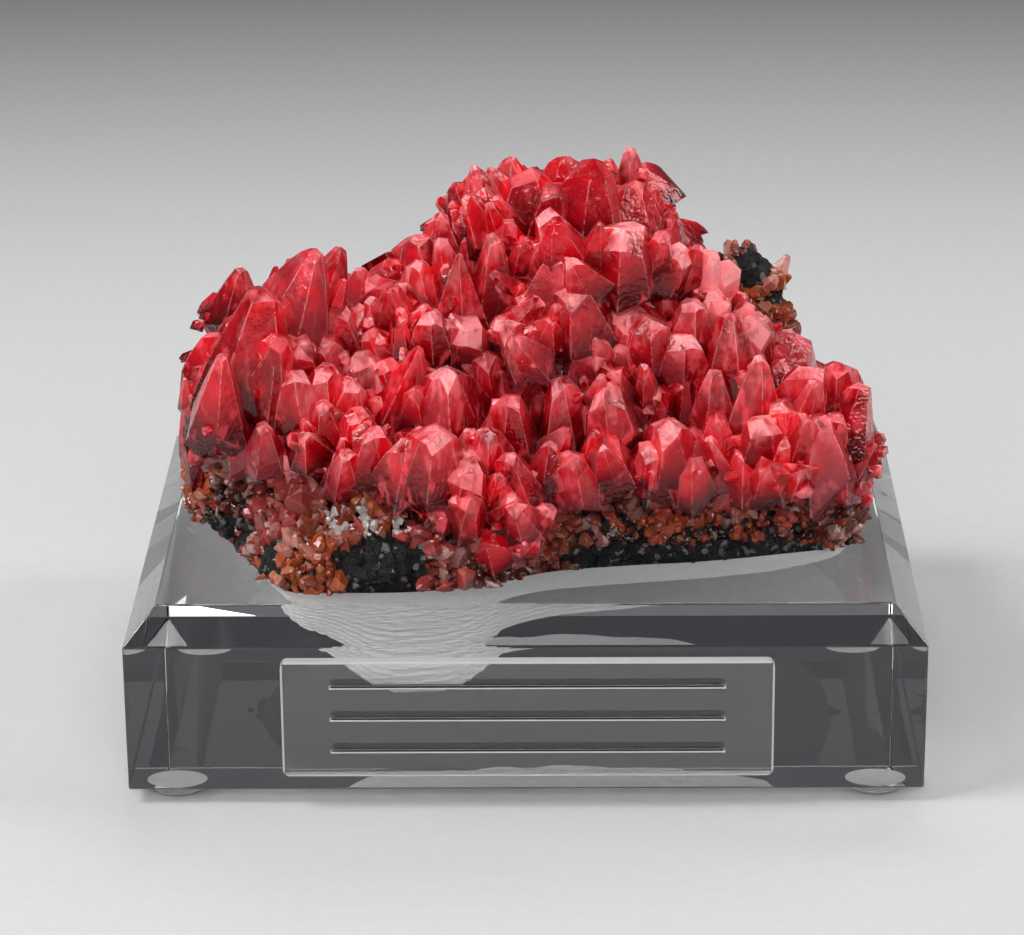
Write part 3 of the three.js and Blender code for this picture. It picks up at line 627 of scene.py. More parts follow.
def crystalForms(foot, tip, width, blunt, milk, seed, rings, perFace=2, root=True):
    # One scalenohedron per row. Six ribs rise from a belt that zigzags round the widest part; at share s of the way
    # up the radius is (1 - s^p)^q. Three slanting planes, top - slope * (distance out from the end's middle), cut
    # the end off, and each rib stops at the share where it first meets one of them.
    columns = 6 * perFace
    count = len(foot)
    axis = tip - foot
    length = np.linalg.norm(axis, axis=1)
    upward = axis / length[:, None]
    side = unit(np.cross(upward, np.array([0.31, 0.87, 0.12])))
    across = np.cross(upward, side)
    k = np.arange(columns)
    corner, share = k // perFace, (k % perFace) / perFace
    skew = form["skew"] * (chance(seed, 7) - 0.35)
    swing = np.where(np.arange(7) % 2 == 1, 1.0, -1.0)[None] * skew[:, None]
    a0 = (corner * math.pi / 3)[None] + swing[:, corner]
    a1 = ((corner + 1) * math.pi / 3)[None] + swing[:, (corner + 1) % 6]
    uneven = 1 + form["uneven"] * (chance(seed[:, None] * 7 + np.arange(6)[None], 8) - 0.5)
    uneven = np.concatenate([uneven, uneven[:, :1]], 1)
    r0, r1 = uneven[:, corner], uneven[:, corner + 1]
    beltX = r0 * np.cos(a0) * (1 - share) + r1 * np.cos(a1) * share
    beltY = r0 * np.sin(a0) * (1 - share) + r1 * np.sin(a1) * share
    zig = np.where(corner % 2, -1.0, 1.0) * (1 - 2 * share)
    beltZ = form["belt"] + upTo(form["zigzag"], chance(seed, 9))[:, None] * zig[None]
    p, q = upTo(form["swell"], chance(seed, 10)), upTo(form["draw"], chance(seed, 11))
    top = 1 - form["cut"][0] - form["cut"][1] * blunt ** 1.6
    length = length / top                      # so that the cut end, not the missing point, is where it is asked for
    half = width / 2
    slope = np.minimum(upTo(form["endSlope"], chance(seed, 12)) * half / length, 0.62 * (top - 0.38))
    middle = 0.35 * (1 - top)[:, None] * np.stack([chance(seed, 13) - 0.5, chance(seed, 14) - 0.5], -1) * 2
    towards = (2 * np.arange(3) * math.pi / 3)[None] + 0.5 * chance(seed, 15)[:, None]

    def outline(s):
        # x, y (in half widths) and z (in lengths) at shares s of shape (crystal, ring, column)
        radius = (1 - np.maximum(s, 0) ** p[:, None, None]) ** q[:, None, None]
        z = beltZ[:, None] + (1 - beltZ[:, None]) * s
        return radius * beltX[:, None], radius * beltY[:, None], z

    def planes(x, y):
        out = [(x - middle[:, 0, None, None]) * np.cos(t)[:, None, None]
               + (y - middle[:, 1, None, None]) * np.sin(t)[:, None, None] for t in towards.T]
        return top[:, None, None] - slope[:, None, None] * np.maximum(np.maximum(out[0], out[1]), out[2])

    steps = np.linspace(0, 1, 33)
    x, y, z = outline(np.tile(steps[None, :, None], (count, 1, columns)))
    over = z - planes(x, y)
    first = np.maximum(np.argmax(over > 0, 1), 1)
    low = np.take_along_axis(over, first[:, None] - 1, 1)[:, 0]
    high = np.take_along_axis(over, first[:, None], 1)[:, 0]
    stop = np.clip(steps[first - 1] + (steps[1] - steps[0]) * low / (low - high), 0.15, 1)
    x, y, z = outline(stop[:, None] * np.asarray(rings)[None, :, None])
    if root:
        x = np.concatenate([form["rootWidth"] * x[:, :1], x], 1)
        y = np.concatenate([form["rootWidth"] * y[:, :1], y], 1)
        z = np.concatenate([z[:, :1] - form["rootDrop"], z], 1)
    levels = x.shape[1]
    height = z                                  # kept for the colour, which runs along the crystal
    turn = 2 * math.pi * chance(seed, 3)
    slim = upTo(form["slim"], chance(seed, 5))
    c, s = np.cos(turn)[:, None, None], np.sin(turn)[:, None, None]

    def placed(x, y, z):
        x, y = x * half[:, None, None], y * (half * slim)[:, None, None]
        x, y = x * c - y * s, x * s + y * c
        return (foot[:, None, None] + x[..., None] * side[:, None, None] + y[..., None] * across[:, None, None]
                + (z * length[:, None, None])[..., None] * upward[:, None, None])

    body = placed(x, y, z).reshape(count, -1, 3)
    ends = placed(np.stack([0 * top, middle[:, 0]], 1)[:, :, None], np.stack([0 * top, middle[:, 1]], 1)[:, :, None],
                  np.stack([0 * top + 0.02, top], 1)[:, :, None]).reshape(count, 2, 3)
    points = np.concatenate([body, ends], 1).reshape(-1, 3)
    sets = gridSets(levels, columns, count)
    # corner maps: the face's number and place across it, and the height; the cut end has 2 added to its height
    u0 = np.tile(corner + share, (count, levels - 1, 1))
    u1 = u0 + 1 / perFace
    following = (k + 1) % columns
    v00, v10 = height[:, :-1], height[:, :-1][:, :, following]
    v01, v11 = height[:, 1:], height[:, 1:][:, :, following]
    quadMap = np.stack([np.stack([u0, v00], -1), np.stack([u1, v10], -1), np.stack([u1, v11], -1),
                        np.stack([u0, v01], -1)], 3)
    rimV = height[:, -1] + 2
    u0, u1 = u0[:, 0], u1[:, 0]
    fanMap = np.stack([np.stack([u0, rimV], -1), np.stack([u1, rimV[:, following]], -1),
                       np.stack([(u0 + u1) / 2, 0 * rimV + 3], -1)], 2)
    lowMap = np.stack([np.stack([u1, 0 * u1], -1), np.stack([u0, 0 * u0], -1), np.stack([u0, 0 * u0], -1)], 2)
    maps = [quadMap.reshape(-1, 2), fanMap.reshape(-1, 2), lowMap.reshape(-1, 2)]
    faceMap = np.concatenate(maps)
    tone = np.stack([milk, chance(seed, 17)], -1)
    toneMap = np.concatenate([np.repeat(tone, len(m) // count, 0) for m in maps])
    return points, sets, faceMap, toneMap


def addMap(piece, name, corners):
    layer = piece.data.uv_layers.new(name=name)
    layer.data.foreach_set("uv", np.asarray(corners, np.float32).ravel())


def sortedOut(foot, tip, width):
    # numbers the crystals so that two with the same number never touch, and each number can be one closed mesh
    along = np.linspace(-0.02, 1, 7)
    line = foot[:, None] + (tip - foot)[:, None] * along[None, :, None]
    nearest = np.full((len(foot), len(foot)), np.inf)
    for a in range(len(along)):
        for b in range(len(along)):
            nearest = np.minimum(nearest, np.linalg.norm(line[:, None, a] - line[None, :, b], axis=-1))
    touch = nearest < 0.56 * (width[:, None] + width[None])
    np.fill_diagonal(touch, False)
    number = np.full(len(foot), -1)
    for i in np.argsort(-touch.sum(1)):
        taken = set(number[touch[i]])
        number[i] = next(n for n in range(len(foot)) if n not in taken)
    return number


def redMass():
    large = listedCrystals()
    groups = [large] + companionCrystals(large)
    groups += fillingCrystals(np.concatenate([g["skin"] for g in groups]))
    groups += sideCrystals({key: np.concatenate([g[key] for g in groups]) for key in large})
    whole = {key: np.concatenate([g[key] for g in groups]) for key in large}
    shown = insideOutline(whole["tip"]) & insideOutline(whole["skin"])
    shown[:len(large["tip"])] = True
    whole = {key: value[shown] for key, value in whole.items()}
    whole["width"] = np.minimum(whole["width"], np.minimum(sideRoom(whole["skin"]), 1.6 * sideRoom(whole["tip"])))
    big = whole["width"] > form["bigWidth"]
    pieces = []
    for centre, radii in lobes:
        lobe = meshFrom("lobe", *lifted(ballPoints(centre, radii - cluster["lobeShrink"])))
        corners = len(lobe.data.loops)
        addMap(lobe, "facet", np.zeros((corners, 2)) + (0.5, 0))
        addMap(lobe, "tone", np.zeros((corners, 2)) + (0.1, 0.5))
        pieces.append(lobe)
    number = sortedOut(whole["foot"], whole["tip"], whole["width"])
    for n in range(number.max() + 1):
        for size, rings in ((True, form["bigRings"]), (False, form["smallRings"])):
            chosen = np.flatnonzero((number == n) & (big == size))
            if not len(chosen):
                continue
            picked = {key: value[chosen] for key, value in whole.items() if key != "skin"}
            points, sets, faceMap, toneMap = crystalForms(**picked, seed=chosen, rings=rings,
                                                          perFace=2 if size else 1)
            batch = meshFrom("batch", *lifted((points, sets)))
            addMap(batch, "facet", faceMap)
            addMap(batch, "tone", toneMap)
            pieces.append(batch)
    print("red crystals:", len(whole["foot"]), "in", len(pieces), "closed meshes")
    mass = joinSolids(pieces)
    mass.name = "red_crystals"
    return mass


def lifted(shape):
    points, sets = shape
    return points + specimenLift, sets


def redMaterial():
    # Painted shade at the foot, near black where the crystals sit down among their neighbours, to milky pink at the
    # tip, broken up by clouds, by each crystal's own tone, by painted shade on some faces, by frost, and by streaks;
    # the edges get some wear together with a painted highlight. Clear share (transmission with absorption) = 0.3 less
    # what is milky, frosted or veiled; the rest scatters light under the surface.
    g = Graph("redCrystal")
    tint = cluster["colours"]
    place = g.place()
    facet = g.node("ShaderNodeUVMap", {"uv_map": "facet"})
    tone = g.node("ShaderNodeUVMap", {"uv_map": "tone"})
    facetU = g.node("ShaderNodeSeparateXYZ", {}, facet, out=0)
    facetV = g.node("ShaderNodeSeparateXYZ", {}, facet, out=1)
    milk = g.node("ShaderNodeSeparateXYZ", {}, tone, out=0)
    own = g.node("ShaderNodeSeparateXYZ", {}, tone, out=1)
    cutEnd = facetV.over(1.4, 1.6)
    height = facetV - 2 * cutEnd
    faceNumber = g.node("ShaderNodeMath", {"operation": "FLOOR"}, facetU) + 7 * cutEnd
    facePlace = g.node("ShaderNodeCombineXYZ", {}, faceNumber, own * 91.0, 0.0)
    faceOwn = g.node("ShaderNodeTexWhiteNoise", {}, Vector=facePlace)
    clouds = g.noise(place, 260.0, 2.0, 0.6)
    ownPlace = g.node("ShaderNodeCombineXYZ", {}, own * 0.3, faceNumber * 0.02, 0.0)
    slanting = g.stretch(place, (1.0, 1.0, 0.45), (0.4, 0.5, 0.0))
    shifted = g.node("ShaderNodeVectorMath", {"operation": "ADD"}, slanting, ownPlace)
    streaks = g.noise(shifted, 480.0, 2.0, 0.68)
    specks = g.noise(place, 1300.0, 1.0, 0.7)
    edge = 1 - g.node("ShaderNodeMath", {"operation": "PINGPONG"}, facetU, 0.5).over(0.0, 0.05)
    tipward = height.over(0.45, 1.02)
    dull = faceOwn.over(0.64, 0.92)                   # faces with a frosted skin
    pale = milk.over(0.9, 1.5)                       # whole crystals that are nearly white
    milky = tipward * milk * streaks.over(0.38, 0.62) + cutEnd * (0.1 + 0.8 * milk) * clouds.over(0.36, 0.6)
    milky = (milky + pale).clamp()
    veil = (streaks.over(0.52, 0.64) * (0.4 + 0.5 * milk) * clouds.over(0.34, 0.54)).clamp()
    # edge colour: partly real wear, partly a painted highlight along the crystals' edges and specks
    worn = (edge * specks.over(0.38, 0.52) * (0.3 + 0.6 * tipward)).clamp()
    deep = g.mix(own, tint["deepDark"], tint["deepBright"])
    body = g.mix(clouds.over(0.40, 0.62), deep, tint["cloud"])
    # painted shade: some faces darkened halfway towards a near-black red, standing for how differently the faces
    # catch the light
    body = g.mix(faceOwn.over(0.0, 0.4), g.mix(0.5, body, tint["shade"]), body)
    # painted shade: near black at each crystal's foot, where it sits down among its neighbours
    body = g.mix(height.over(0.20, 0.70), tint["foot"], body)
    body = g.mix(veil, body, tint["veil"])
    frosted = g.mix((dull * (0.1 + 0.8 * streaks)).clamp(), body, tint["frost"])
    pink = g.mix(milky * 0.9, frosted, tint["milk"])
    colour = g.mix((worn * 0.8).clamp(), pink, tint["worn"])
    rough = (0.02 + 0.14 * dull + 0.16 * milky + 0.08 * specks).clamp()
    bumps = g.bump(specks, 0.5, 0.0004)
    scatter = g.node("ShaderNodeBsdfPrincipled", {"subsurface_method": "BURLEY"}, BaseColor=colour, Roughness=rough,
                     IOR=1.46, SubsurfaceWeight=1.0, SubsurfaceRadius=(1.0, 0.08, 0.08), SubsurfaceScale=0.003,
                     Normal=bumps)
    clear = g.node("ShaderNodeBsdfPrincipled", {}, BaseColor=tint["glass"], Roughness=rough * 0.5, IOR=1.5,
                   TransmissionWeight=1.0, Normal=bumps)
    share = (0.30 - 0.3 * milky - 0.15 * dull - 0.15 * veil).clamp()
    g.surface(g.node("ShaderNodeMixShader", {}, share, scatter, clear))
    g.volume(g.node("ShaderNodeVolumeAbsorption", {}, Color=tint["absorbed"], Density=300.0))
    return g.material


red = finishPiece(redMass(), redMaterial(), "rhodochrosite_crystals", sharp=14)
print("red mass:", len(red.data.polygons), "faces")

# ---- the pocket's outline ----

# the rim on the block's top, anticlockwise from the left
rim = np.array([
    [-38.8, -11.6], [-36, -19], [-32.3, -26.2], [-29.6, -29.3], [-23, -29.6], [-15.9, -29.5], [-10, -28.6],
    [-4.5, -27.2], [-0.7, -24.6], [4.5, -22.4], [13, -20.8], [22.6, -19.5], [32, -17.3], [41.1, -14.3],
    [43.2, -9], [44, 0], [42, 10], [36, 18.5], [26, 24.5], [10, 27.5], [-8, 26], [-24, 20.5], [-35, 11.5],
    [-39.5, 0],
])
pocketCentre = np.array([-4.0, -3.0])
pocket = {
    "depthAcross": np.array([[-40, 1.6], [-34, 2.6], [-28, 6.6], [-22, 8.4], [20, 8.4], [32, 8.0], [38, 6.0],
                             [44, 3.6]]),
    "well": (-13.5, -25.0), "wellReach": (8.5, 10.0), "wellDepth": 12.8,      # the deeper hollow at the front
    "toolStep": 0.6,         # height of the milling steps
}


def pocketDepth(points):
    # the depth across the block, with a smooth well let into it: well share = exp(-(x/a)^4 - (y/b)^4)
    plain = np.interp(points[:, 0], *pocket["depthAcross"].T)
    out = (points[:, :2] - pocket["well"]) / pocket["wellReach"]
    well = np.exp(-(out ** 4).sum(1))
    return plain + (pocket["wellDepth"] - plain) * well


def closedCurve(corners, count):
    # a smooth closed curve through the corners: each stretch is the cubic p1 + t(...) of Catmull and Rom
    place = np.arange(count) * len(corners) / count
    i = np.floor(place).astype(int)
    t = (place - i)[:, None]
    p0, p1, p2, p3 = [corners[(i + shift) % len(corners)] for shift in (-1, 0, 1, 2)]
    return 0.5 * (2 * p1 + (p2 - p0) * t + (2 * p0 - 5 * p1 + 4 * p2 - p3) * t ** 2
                  + (3 * p1 - p0 - 3 * p2 + p3) * t ** 3)


# ---- the black rock ----

rock = {
    "rimGap": 0.6,           # between the rock and the pocket's rim
    # the bed's outline: share of the pocket's depth, share of its rim; then height above the block, share of its rim
    "under": [(0.88, 0.3), (0.85, 0.6), (0.78, 0.85), (0.5, 0.96)],
    "over": [(0, 1.0), (2.5, 1.01), (5, 0.98), (7.5, 0.9)],
    "cube": 0.5,             # mesh size
    "grains": (2.1, 1.0),    # sizes of the coarse and fine grains
    "relief": (1.25, 0.70),  # and how far they stand out
    "swells": ((0.7, 7.0), (0.45, 3.2)),     # the broad unevenness: height, size
    "bottom": -7.4,          # of the bed's middle, below the block's top
    # glint is a painted glint: a light grey laid on a few cells
    "dark": (0.001, 0.001, 0.001), "light": (0.022, 0.021, 0.020), "glint": (0.30, 0.29, 0.28),
}


def rockMass():
    # the bed is the rim's curve drawn in by a share at each height; humps are ellipsoids; grains push the skin out
    # by (0.6 - distance to the nearest lattice point) and by each grain's own step
    edge = closedCurve(rim, 96)
    outwards = unit(edge - pocketCentre)
    rings = []
    for height, share in rock["under"] + rock["over"]:
        ring = pocketCentre + (edge - pocketCentre) * share - outwards * rock["rimGap"]
        up = -height * pocketDepth(ring) if (height, share) in rock["under"] else np.full(len(edge), height)
        rings.append(np.concatenate([ring, up[:, None]], 1))
    low = np.append(pocketCentre, rock["bottom"])
    high = np.append(pocketCentre, rock["over"][-1][0])
    bed = np.concatenate(rings + [[low], [high]])
    pieces = [meshFrom("bed", *lifted((bed, gridSets(len(rings), len(edge)))))]
    for centre, radii in rockHumps:
        pieces.append(meshFrom("hump", *lifted(ballPoints(centre, radii))))
    mass = joinSolids(pieces)
    remesh = mass.modifiers.new("even", "REMESH")
    remesh.mode = "VOXEL"
    remesh.voxel_size = rock["cube"] * mm
    applied(mass)
    points, normals = pointsOf(mass), normalsOf(mass)
    (broad, broadSize), (small, smallSize) = rock["swells"]
    swell = broad * softNoise(points, broadSize, 1) + small * softNoise(points, smallSize, 2)
    grainFar, grainOwn = cellField(points, rock["grains"][0], 5)
    fineFar, fineOwn = cellField(points, rock["grains"][1], 9)
    push = (swell + rock["relief"][0] * (0.6 - grainFar + 0.7 * (grainOwn - 0.5))
            + rock["relief"][1] * (0.6 - fineFar + 0.8 * (fineOwn - 0.5)))
    inPocket = np.clip((topHeight + 0.4 - points[:, 2]) / 1.5, 0, 1)
    push = push * (1 - inPocket) - 0.3 * inPocket
    movePoints(mass, points + normals * push[:, None])
    mass.name = "black_rock"
    return mass


def rockMaterial():
    # near black; each small cell has its own grey, its own roughness and a slightly turned normal, and a few cells
    # get a light grey base colour as a painted glint
    g = Graph("blackRock")
    place = g.place()
    own = g.cells(place, 1500.0, out=1)
    ownValue = g.node("ShaderNodeSeparateXYZ", {}, own, out=0)
    ownOther = g.node("ShaderNodeSeparateXYZ", {}, own, out=1)
    clouds = g.noise(place, 300.0, 4.0, 0.6)
    glint = ownOther.over(0.84, 0.92)
    colour = g.mix(ownValue * clouds.over(0.3, 0.7), rock["dark"], rock["light"])
    # painted glint: a few cells get a light grey base colour, standing for sparkles of light
    colour = g.mix(glint * 0.5, colour, rock["glint"])
    rough = (0.55 - 0.40 * glint).clamp()
    bumps = g.bump(ownValue + g.noise(place, 2600.0, 2.0, 0.7), 0.9, 0.0008)
    g.surface(g.node("ShaderNodeBsdfPrincipled", {}, BaseColor=colour, Roughness=rough, IOR=1.46, Normal=bumps))
    return g.material


rockPiece = finishPiece(rockMass(), rockMaterial(), "matrix", sharp=35)
print("rock:", len(rockPiece.data.polygons), "faces")

# ---- the crusts of small crystals ----

crust = {
    # places on the colour ramp, and colours
    "tones": {
        "black": (0.02, (0.012, 0.008, 0.007)), "brown": (0.14, (0.17, 0.035, 0.02)),
        "rose": (0.28, (0.58, 0.075, 0.07)), "rust": (0.42, (0.42, 0.065, 0.025)),
        "orange": (0.55, (0.68, 0.13, 0.035)), "amber": (0.66, (0.82, 0.36, 0.12)),
        "shell": (0.78, (0.88, 0.34, 0.27)), "mauve": (0.89, (0.40, 0.15, 0.15)),
        "white": (0.98, (0.88, 0.84, 0.78)),
    },
    "spacing": 0.7,
    "edgeOverlap": 1.8,      # how far it climbs over the red crystals' lower edge
    # seen from the front: across, up, reach across, reach up, tone, crystal size (mm)
    "patches": [
        (-44, 6, 3, 5, "orange", 1.7), (-42.5, 1.5, 2, 3, "rust", 1.3), (-38.5, 5.5, 5, 3.5, "mauve", 1.8),
        (-37, 1, 4, 3, "brown", 1.3), (-40.5, 0.5, 3, 2.5, "black", 1.1), (-32.5, 2.5, 3.5, 4, "rose", 2.9),
        (-33.5, -2, 3, 3.5, "rose", 2.4), (-32.5, -5, 2, 3, "shell", 1.9), (-30.5, -8.5, 4, 3, "orange", 1.7),
        (-26.5, -10, 3, 2, "rust", 1.4), (-28.5, -2, 3, 3, "rust", 2.0), (-27.5, 2.5, 3, 2.5, "rose", 2.4),
        (-23.5, 2.2, 3.5, 2.0, "orange", 1.6), (-17, 0.5, 3, 2.5, "rust", 1.9), (-14.5, -3.5, 2.5, 4, "rose", 2.2),
        (-21.5, -1.8, 6, 1.7, "white", 1.1), (-11.5, -7, 3, 3, "rose", 2.3), (-4, -9, 8, 2.2, "brown", 1.6),
        (-8, -6, 3, 2, "mauve", 2.6), (-3, -5.5, 4, 2, "rose", 2.6), (3, -5, 3, 3, "rust", 1.7),
        (7.5, 1.0, 2.5, 2, "mauve", 2.2), (9.5, -1.5, 2.5, 2, "mauve", 1.8), (11, -4, 2.5, 1.5, "black", 1.1),
        (14, 1.5, 7, 2, "brown", 1.9), (16, -2.5, 6, 1.6, "rust", 1.5), (22, 0.5, 6, 2, "rose", 2.0),
        (25, -1.8, 7, 1.2, "rust", 1.6), (29, -3.4, 8, 1.0, "black", 1.2), (33, 0.3, 6, 2, "rose", 1.9),
        (38, -1.2, 5, 2, "rust", 1.7), (42, -2.2, 3, 2.5, "brown", 1.5), (44.5, -1, 2, 3, "shell", 1.5),
        (30, 27, 4, 3.5, "orange", 1.6), (33, 25, 4, 2, "rust", 1.4), (24, 34, 3, 3, "shell", 2.6),
        (24, 29.5, 3, 3, "shell", 2.4), (27, 36, 1.5, 1.5, "brown", 1.3),
    ],
    # rock left bare
    "bare": [(-19.5, -8.0, 6.6, 4.4), (-40.5, -3.8, 5.5, 2.8), (-35.4, -8.5, 2.2, 3.8), (14, -6.8, 11.5, 2.2),
             (31, -6.4, 9.5, 1.8), (30, 33.5, 2.6, 2.6), (33.5, 29.5, 1.2, 1.6)],
    "druse": (-18, 10.2, 1.5),       # a white spot among the red crystals
    # shaded is painted shade for the faces; the pale peach colour is a painted highlight on some faces
    "shaded": (0.05, 0.006, 0.004), "bleached": (0.95, 0.66, 0.56), "glass": (0.9, 0.7, 0.6),
}


def crustSites():
    # rock points and lower lobe points, one to a lattice cube, that the crust covers
    rockPoints, rockNormals = pointsOf(rockPiece) - specimenLift, normalsOf(rockPiece)
    bare = (farOf(rockPoints, lobes) >= 0.97).all(1) & (rockPoints[:, 2] > 0.2)
    skin, outwards = openSkin(0.8)
    points = np.concatenate([rockPoints[bare], skin])
    normals = np.concatenate([rockNormals[bare], outwards])
    onRock = np.arange(len(points)) < bare.sum()
    across, up = seenFrom(points)
    facing = (normals * (frontEye - points)).sum(1) > -0.1
    wobble = softNoise(points, 1.6, 21)
    below = up < np.interp(across, *cluster["lowerEdge"].T) + crust["edgeOverlap"] + wobble
    upper = (across > 20) & (up > 24)
    far = farOf(points, lobes).min(1)
    lowBehind = points[:, 2] < cluster["lowestBehind"] + 1 + wobble
    backBand = ~facing & np.where(onRock, far < 1.16 + 0.08 * wobble, lowBehind)
    a, u, reach = crust["druse"]
    druse = facing & (np.hypot(across - a, up - u) < reach)
    wanted = (facing & (below | (upper & onRock))) | backBand | druse
    for a, u, reachA, reachU in crust["bare"]:
        wanted &= ~(facing & (np.hypot((across - a) / reachA, (up - u) / reachU) < 1 + 0.22 * wobble))
    wanted &= points[:, 2] > -0.1
    points, normals, across, up = points[wanted], normals[wanted], across[wanted], up[wanted]
    cells = np.floor(points / crust["spacing"]).astype(int)
    _, chosen = np.unique(cells, axis=0, return_index=True)
    return points[chosen], normals[chosen], across[chosen], up[chosen]


def crustCrystals():
    points, normals, across, up = crustSites()
    i = np.arange(len(points))
    facing = (normals * (frontEye - points)).sum(1) > -0.1
    rows = np.array([row[:4] for row in crust["patches"]], float)
    tones = np.array([crust["tones"][row[4]][0] for row in crust["patches"]])
    sizes = np.array([row[5] for row in crust["patches"]])
    reach = np.hypot((across[:, None] - rows[:, 0]) / rows[:, 2], (up[:, None] - rows[:, 1]) / rows[:, 3])
    reach *= 1 + 0.5 * chance(i[:, None] * 31 + np.arange(len(rows))[None], 90)
    nearest = np.argmin(reach, 1)
    behind = (chance(i, 91) * len(rows)).astype(int)
    nearest = np.where(facing, nearest, behind)
    a, u, reachDruse = crust["druse"]
    white = np.hypot(across - a, up - u) < reachDruse * 1.2
    # one in three takes the tone of another patch nearby
    second = np.argsort(reach, 1)[:, 1]
    nearest = np.where(facing & (chance(i, 89) > 0.66), second, nearest)
    tone = np.where(white, crust["tones"]["white"][0], tones[nearest]) + 0.05 * (chance(i, 92) - 0.5)
    size = np.where(white, 0.9, sizes[nearest]) * (0.6 + 1.1 * chance(i, 93))
    kept = chance(i, 94) < np.clip(1.9 / size ** 2, 0.2, 1)
    wander = np.stack([chance(i, 95), chance(i, 96), chance(i, 97)], -1) - 0.5
    lean = unit(normals * 0.8 + np.array([0, 0, 0.25]) + 0.9 * wander)
    foot = points - lean * (0.5 * size)[:, None]
    tip = points + lean * (size * (0.45 + 0.5 * chance(i, 98)))[:, None]
    made = {"foot": foot, "tip": tip, "width": size * (0.75 + 0.4 * chance(i, 99)),
            "blunt": 0.2 + 0.8 * chance(i, 100), "milk": tone}
    return {key: value[kept] for key, value in made.items()}, across[kept], up[kept]


def crustMaterial():
    # each small crystal takes its colour from the ramp at its own place, darkened by painted shade (from each face's
    # and crystal's own value and fine noise) and whitened on some faces by a painted highlight; some are clear
    g = Graph("crustCrystal")
    place = g.place()
    tone = g.node("ShaderNodeUVMap", {"uv_map": "tone"})
    toneX = g.node("ShaderNodeSeparateXYZ", {}, tone, out=0)
    own = g.node("ShaderNodeSeparateXYZ", {}, tone, out=1)
    clouds = g.noise(place, 700.0, 3.0, 0.6)
    grain = g.noise(place, 3000.0, 2.0, 0.6)
    colour = g.ramp(toneX + 0.05 * (clouds - 0.5), sorted(crust["tones"].values()))
    facet = g.node("ShaderNodeUVMap", {"uv_map": "facet"})
    faceNumber = g.node("ShaderNodeMath", {"operation": "FLOOR"}, g.node("ShaderNodeSeparateXYZ", {}, facet, out=0))
    facePlace = g.node("ShaderNodeCombineXYZ", {}, faceNumber, own * 91.0, 0.0)
    faceOwn = g.node("ShaderNodeTexWhiteNoise", {}, Vector=facePlace)
    shade = (faceOwn * 0.7 + own * 0.4 + clouds * 0.4).clamp()
    # painted shade: some faces darkened towards a near-black brown, by each face's own value mixed with the crystal's
    # tone and fine noise
    colour = g.mix(shade, g.mix(0.75, colour, crust["shaded"]), colour)
    # painted highlight: some faces of some crystals whitened towards a pale peach
    colour = g.mix((own.over(0.6, 1.0) * 0.7 * faceOwn.over(0.5, 0.9)).clamp(), colour, crust["bleached"])
    rough = (0.04 + 0.22 * grain).clamp()
    bumps = g.bump(grain + clouds, 0.25, 0.0002)
    body = g.node("ShaderNodeBsdfPrincipled", {}, BaseColor=colour, Roughness=rough, IOR=1.65, Normal=bumps)
    clear = g.node("ShaderNodeBsdfPrincipled", {}, BaseColor=g.mix(0.4, colour, crust["glass"]),
                   Roughness=rough * 0.5, IOR=1.6, TransmissionWeight=1.0, Normal=bumps)
    g.surface(g.node("ShaderNodeMixShader", {}, 0.15 + 0.35 * own, body, clear))
    return g.material


crustLook = crustMaterial()
smallOnes, crustAcross, crustUp = crustCrystals()
groupOf = np.where((crustAcross > 18) & (crustUp > 22), 2, np.where(crustAcross < 4, 0, 1))
for group, node in enumerate(("crust_front_left", "crust_front_right", "crust_upper_right")):
    chosen = np.flatnonzero(groupOf == group)
    picked = {key: value[chosen] for key, value in smallOnes.items()}
    points, sets, faceMap, toneMap = crystalForms(**picked, seed=chosen, rings=(0.0, 1.0), perFace=1, root=False)
    piece = meshFrom(node + "_crystals", *lifted((points, sets)))
    addMap(piece, "facet", faceMap)
    addMap(piece, "tone", toneMap)
    finishPiece(piece, crustLook, node)
    print(node, len(chosen), "small crystals")

# ---- the clear block ----

block = {
    "bevelInset": 4.0, "bevelDrop": 4.2,
    "rounding": 0.22,        # of the polished edges
    "floorShare": 0.975,     # the pocket's wall ends at this share of its rim
    "wallLevels": 24, "floorLevels": 56,
    "clear": (0.985, 0.99, 0.995), "milled": (0.96, 0.96, 0.95), "absorbed": (0.90, 0.95, 0.97),
}


def roundedRing(length, depth, corner, z, around=6):
    # a rectangle whose corners are quarter circles, anticlockwise
    x, y = length / 2 - corner, depth / 2 - corner
    angle = np.linspace(0, math.pi / 2, around)
    turns = np.concatenate([angle + math.pi * q / 2 for q in (2, 3, 0, 1)])
    centres = np.repeat(np.array([[-x, -y], [x, -y], [x, y], [-x, y]]), around, 0)
    ring = centres + corner * np.stack([np.cos(turns), np.sin(turns)], -1)
    return np.concatenate([ring + (0, blockMiddleY), np.full((len(ring), 1), z)], 1)


def roundedProfile(corners, radius, around=4):
    # an open outline (inset, height) with each inner corner replaced by an arc-like curve
    points = [corners[0]]
    for before, at, after in zip(corners, corners[1:], corners[2:]):
        before, at, after = map(np.array, (before, at, after))
        a = at + (before - at) / np.linalg.norm(before - at) * radius
        b = at + (after - at) / np.linalg.norm(after - at) * radius
        for t in np.linspace(0, 1, around):
            points.append(tuple((1 - t) ** 2 * a + 2 * t * (1 - t) * at + t ** 2 * b))
    points.append(corners[-1])
    return points


def steppedDepth(points):
    # the pocket's depth in level steps with short slopes between, as a cutter leaves it
    depth, step = pocketDepth(points), pocket["toolStep"]
    depth = depth + 0.18 * softNoise(np.pad(points, ((0, 0), (0, 1))), 4.0, 31)
    part = depth / step - np.floor(depth / step)
    return depth - part * step + step * np.clip((part - 0.6) / 0.4, 0, 1)


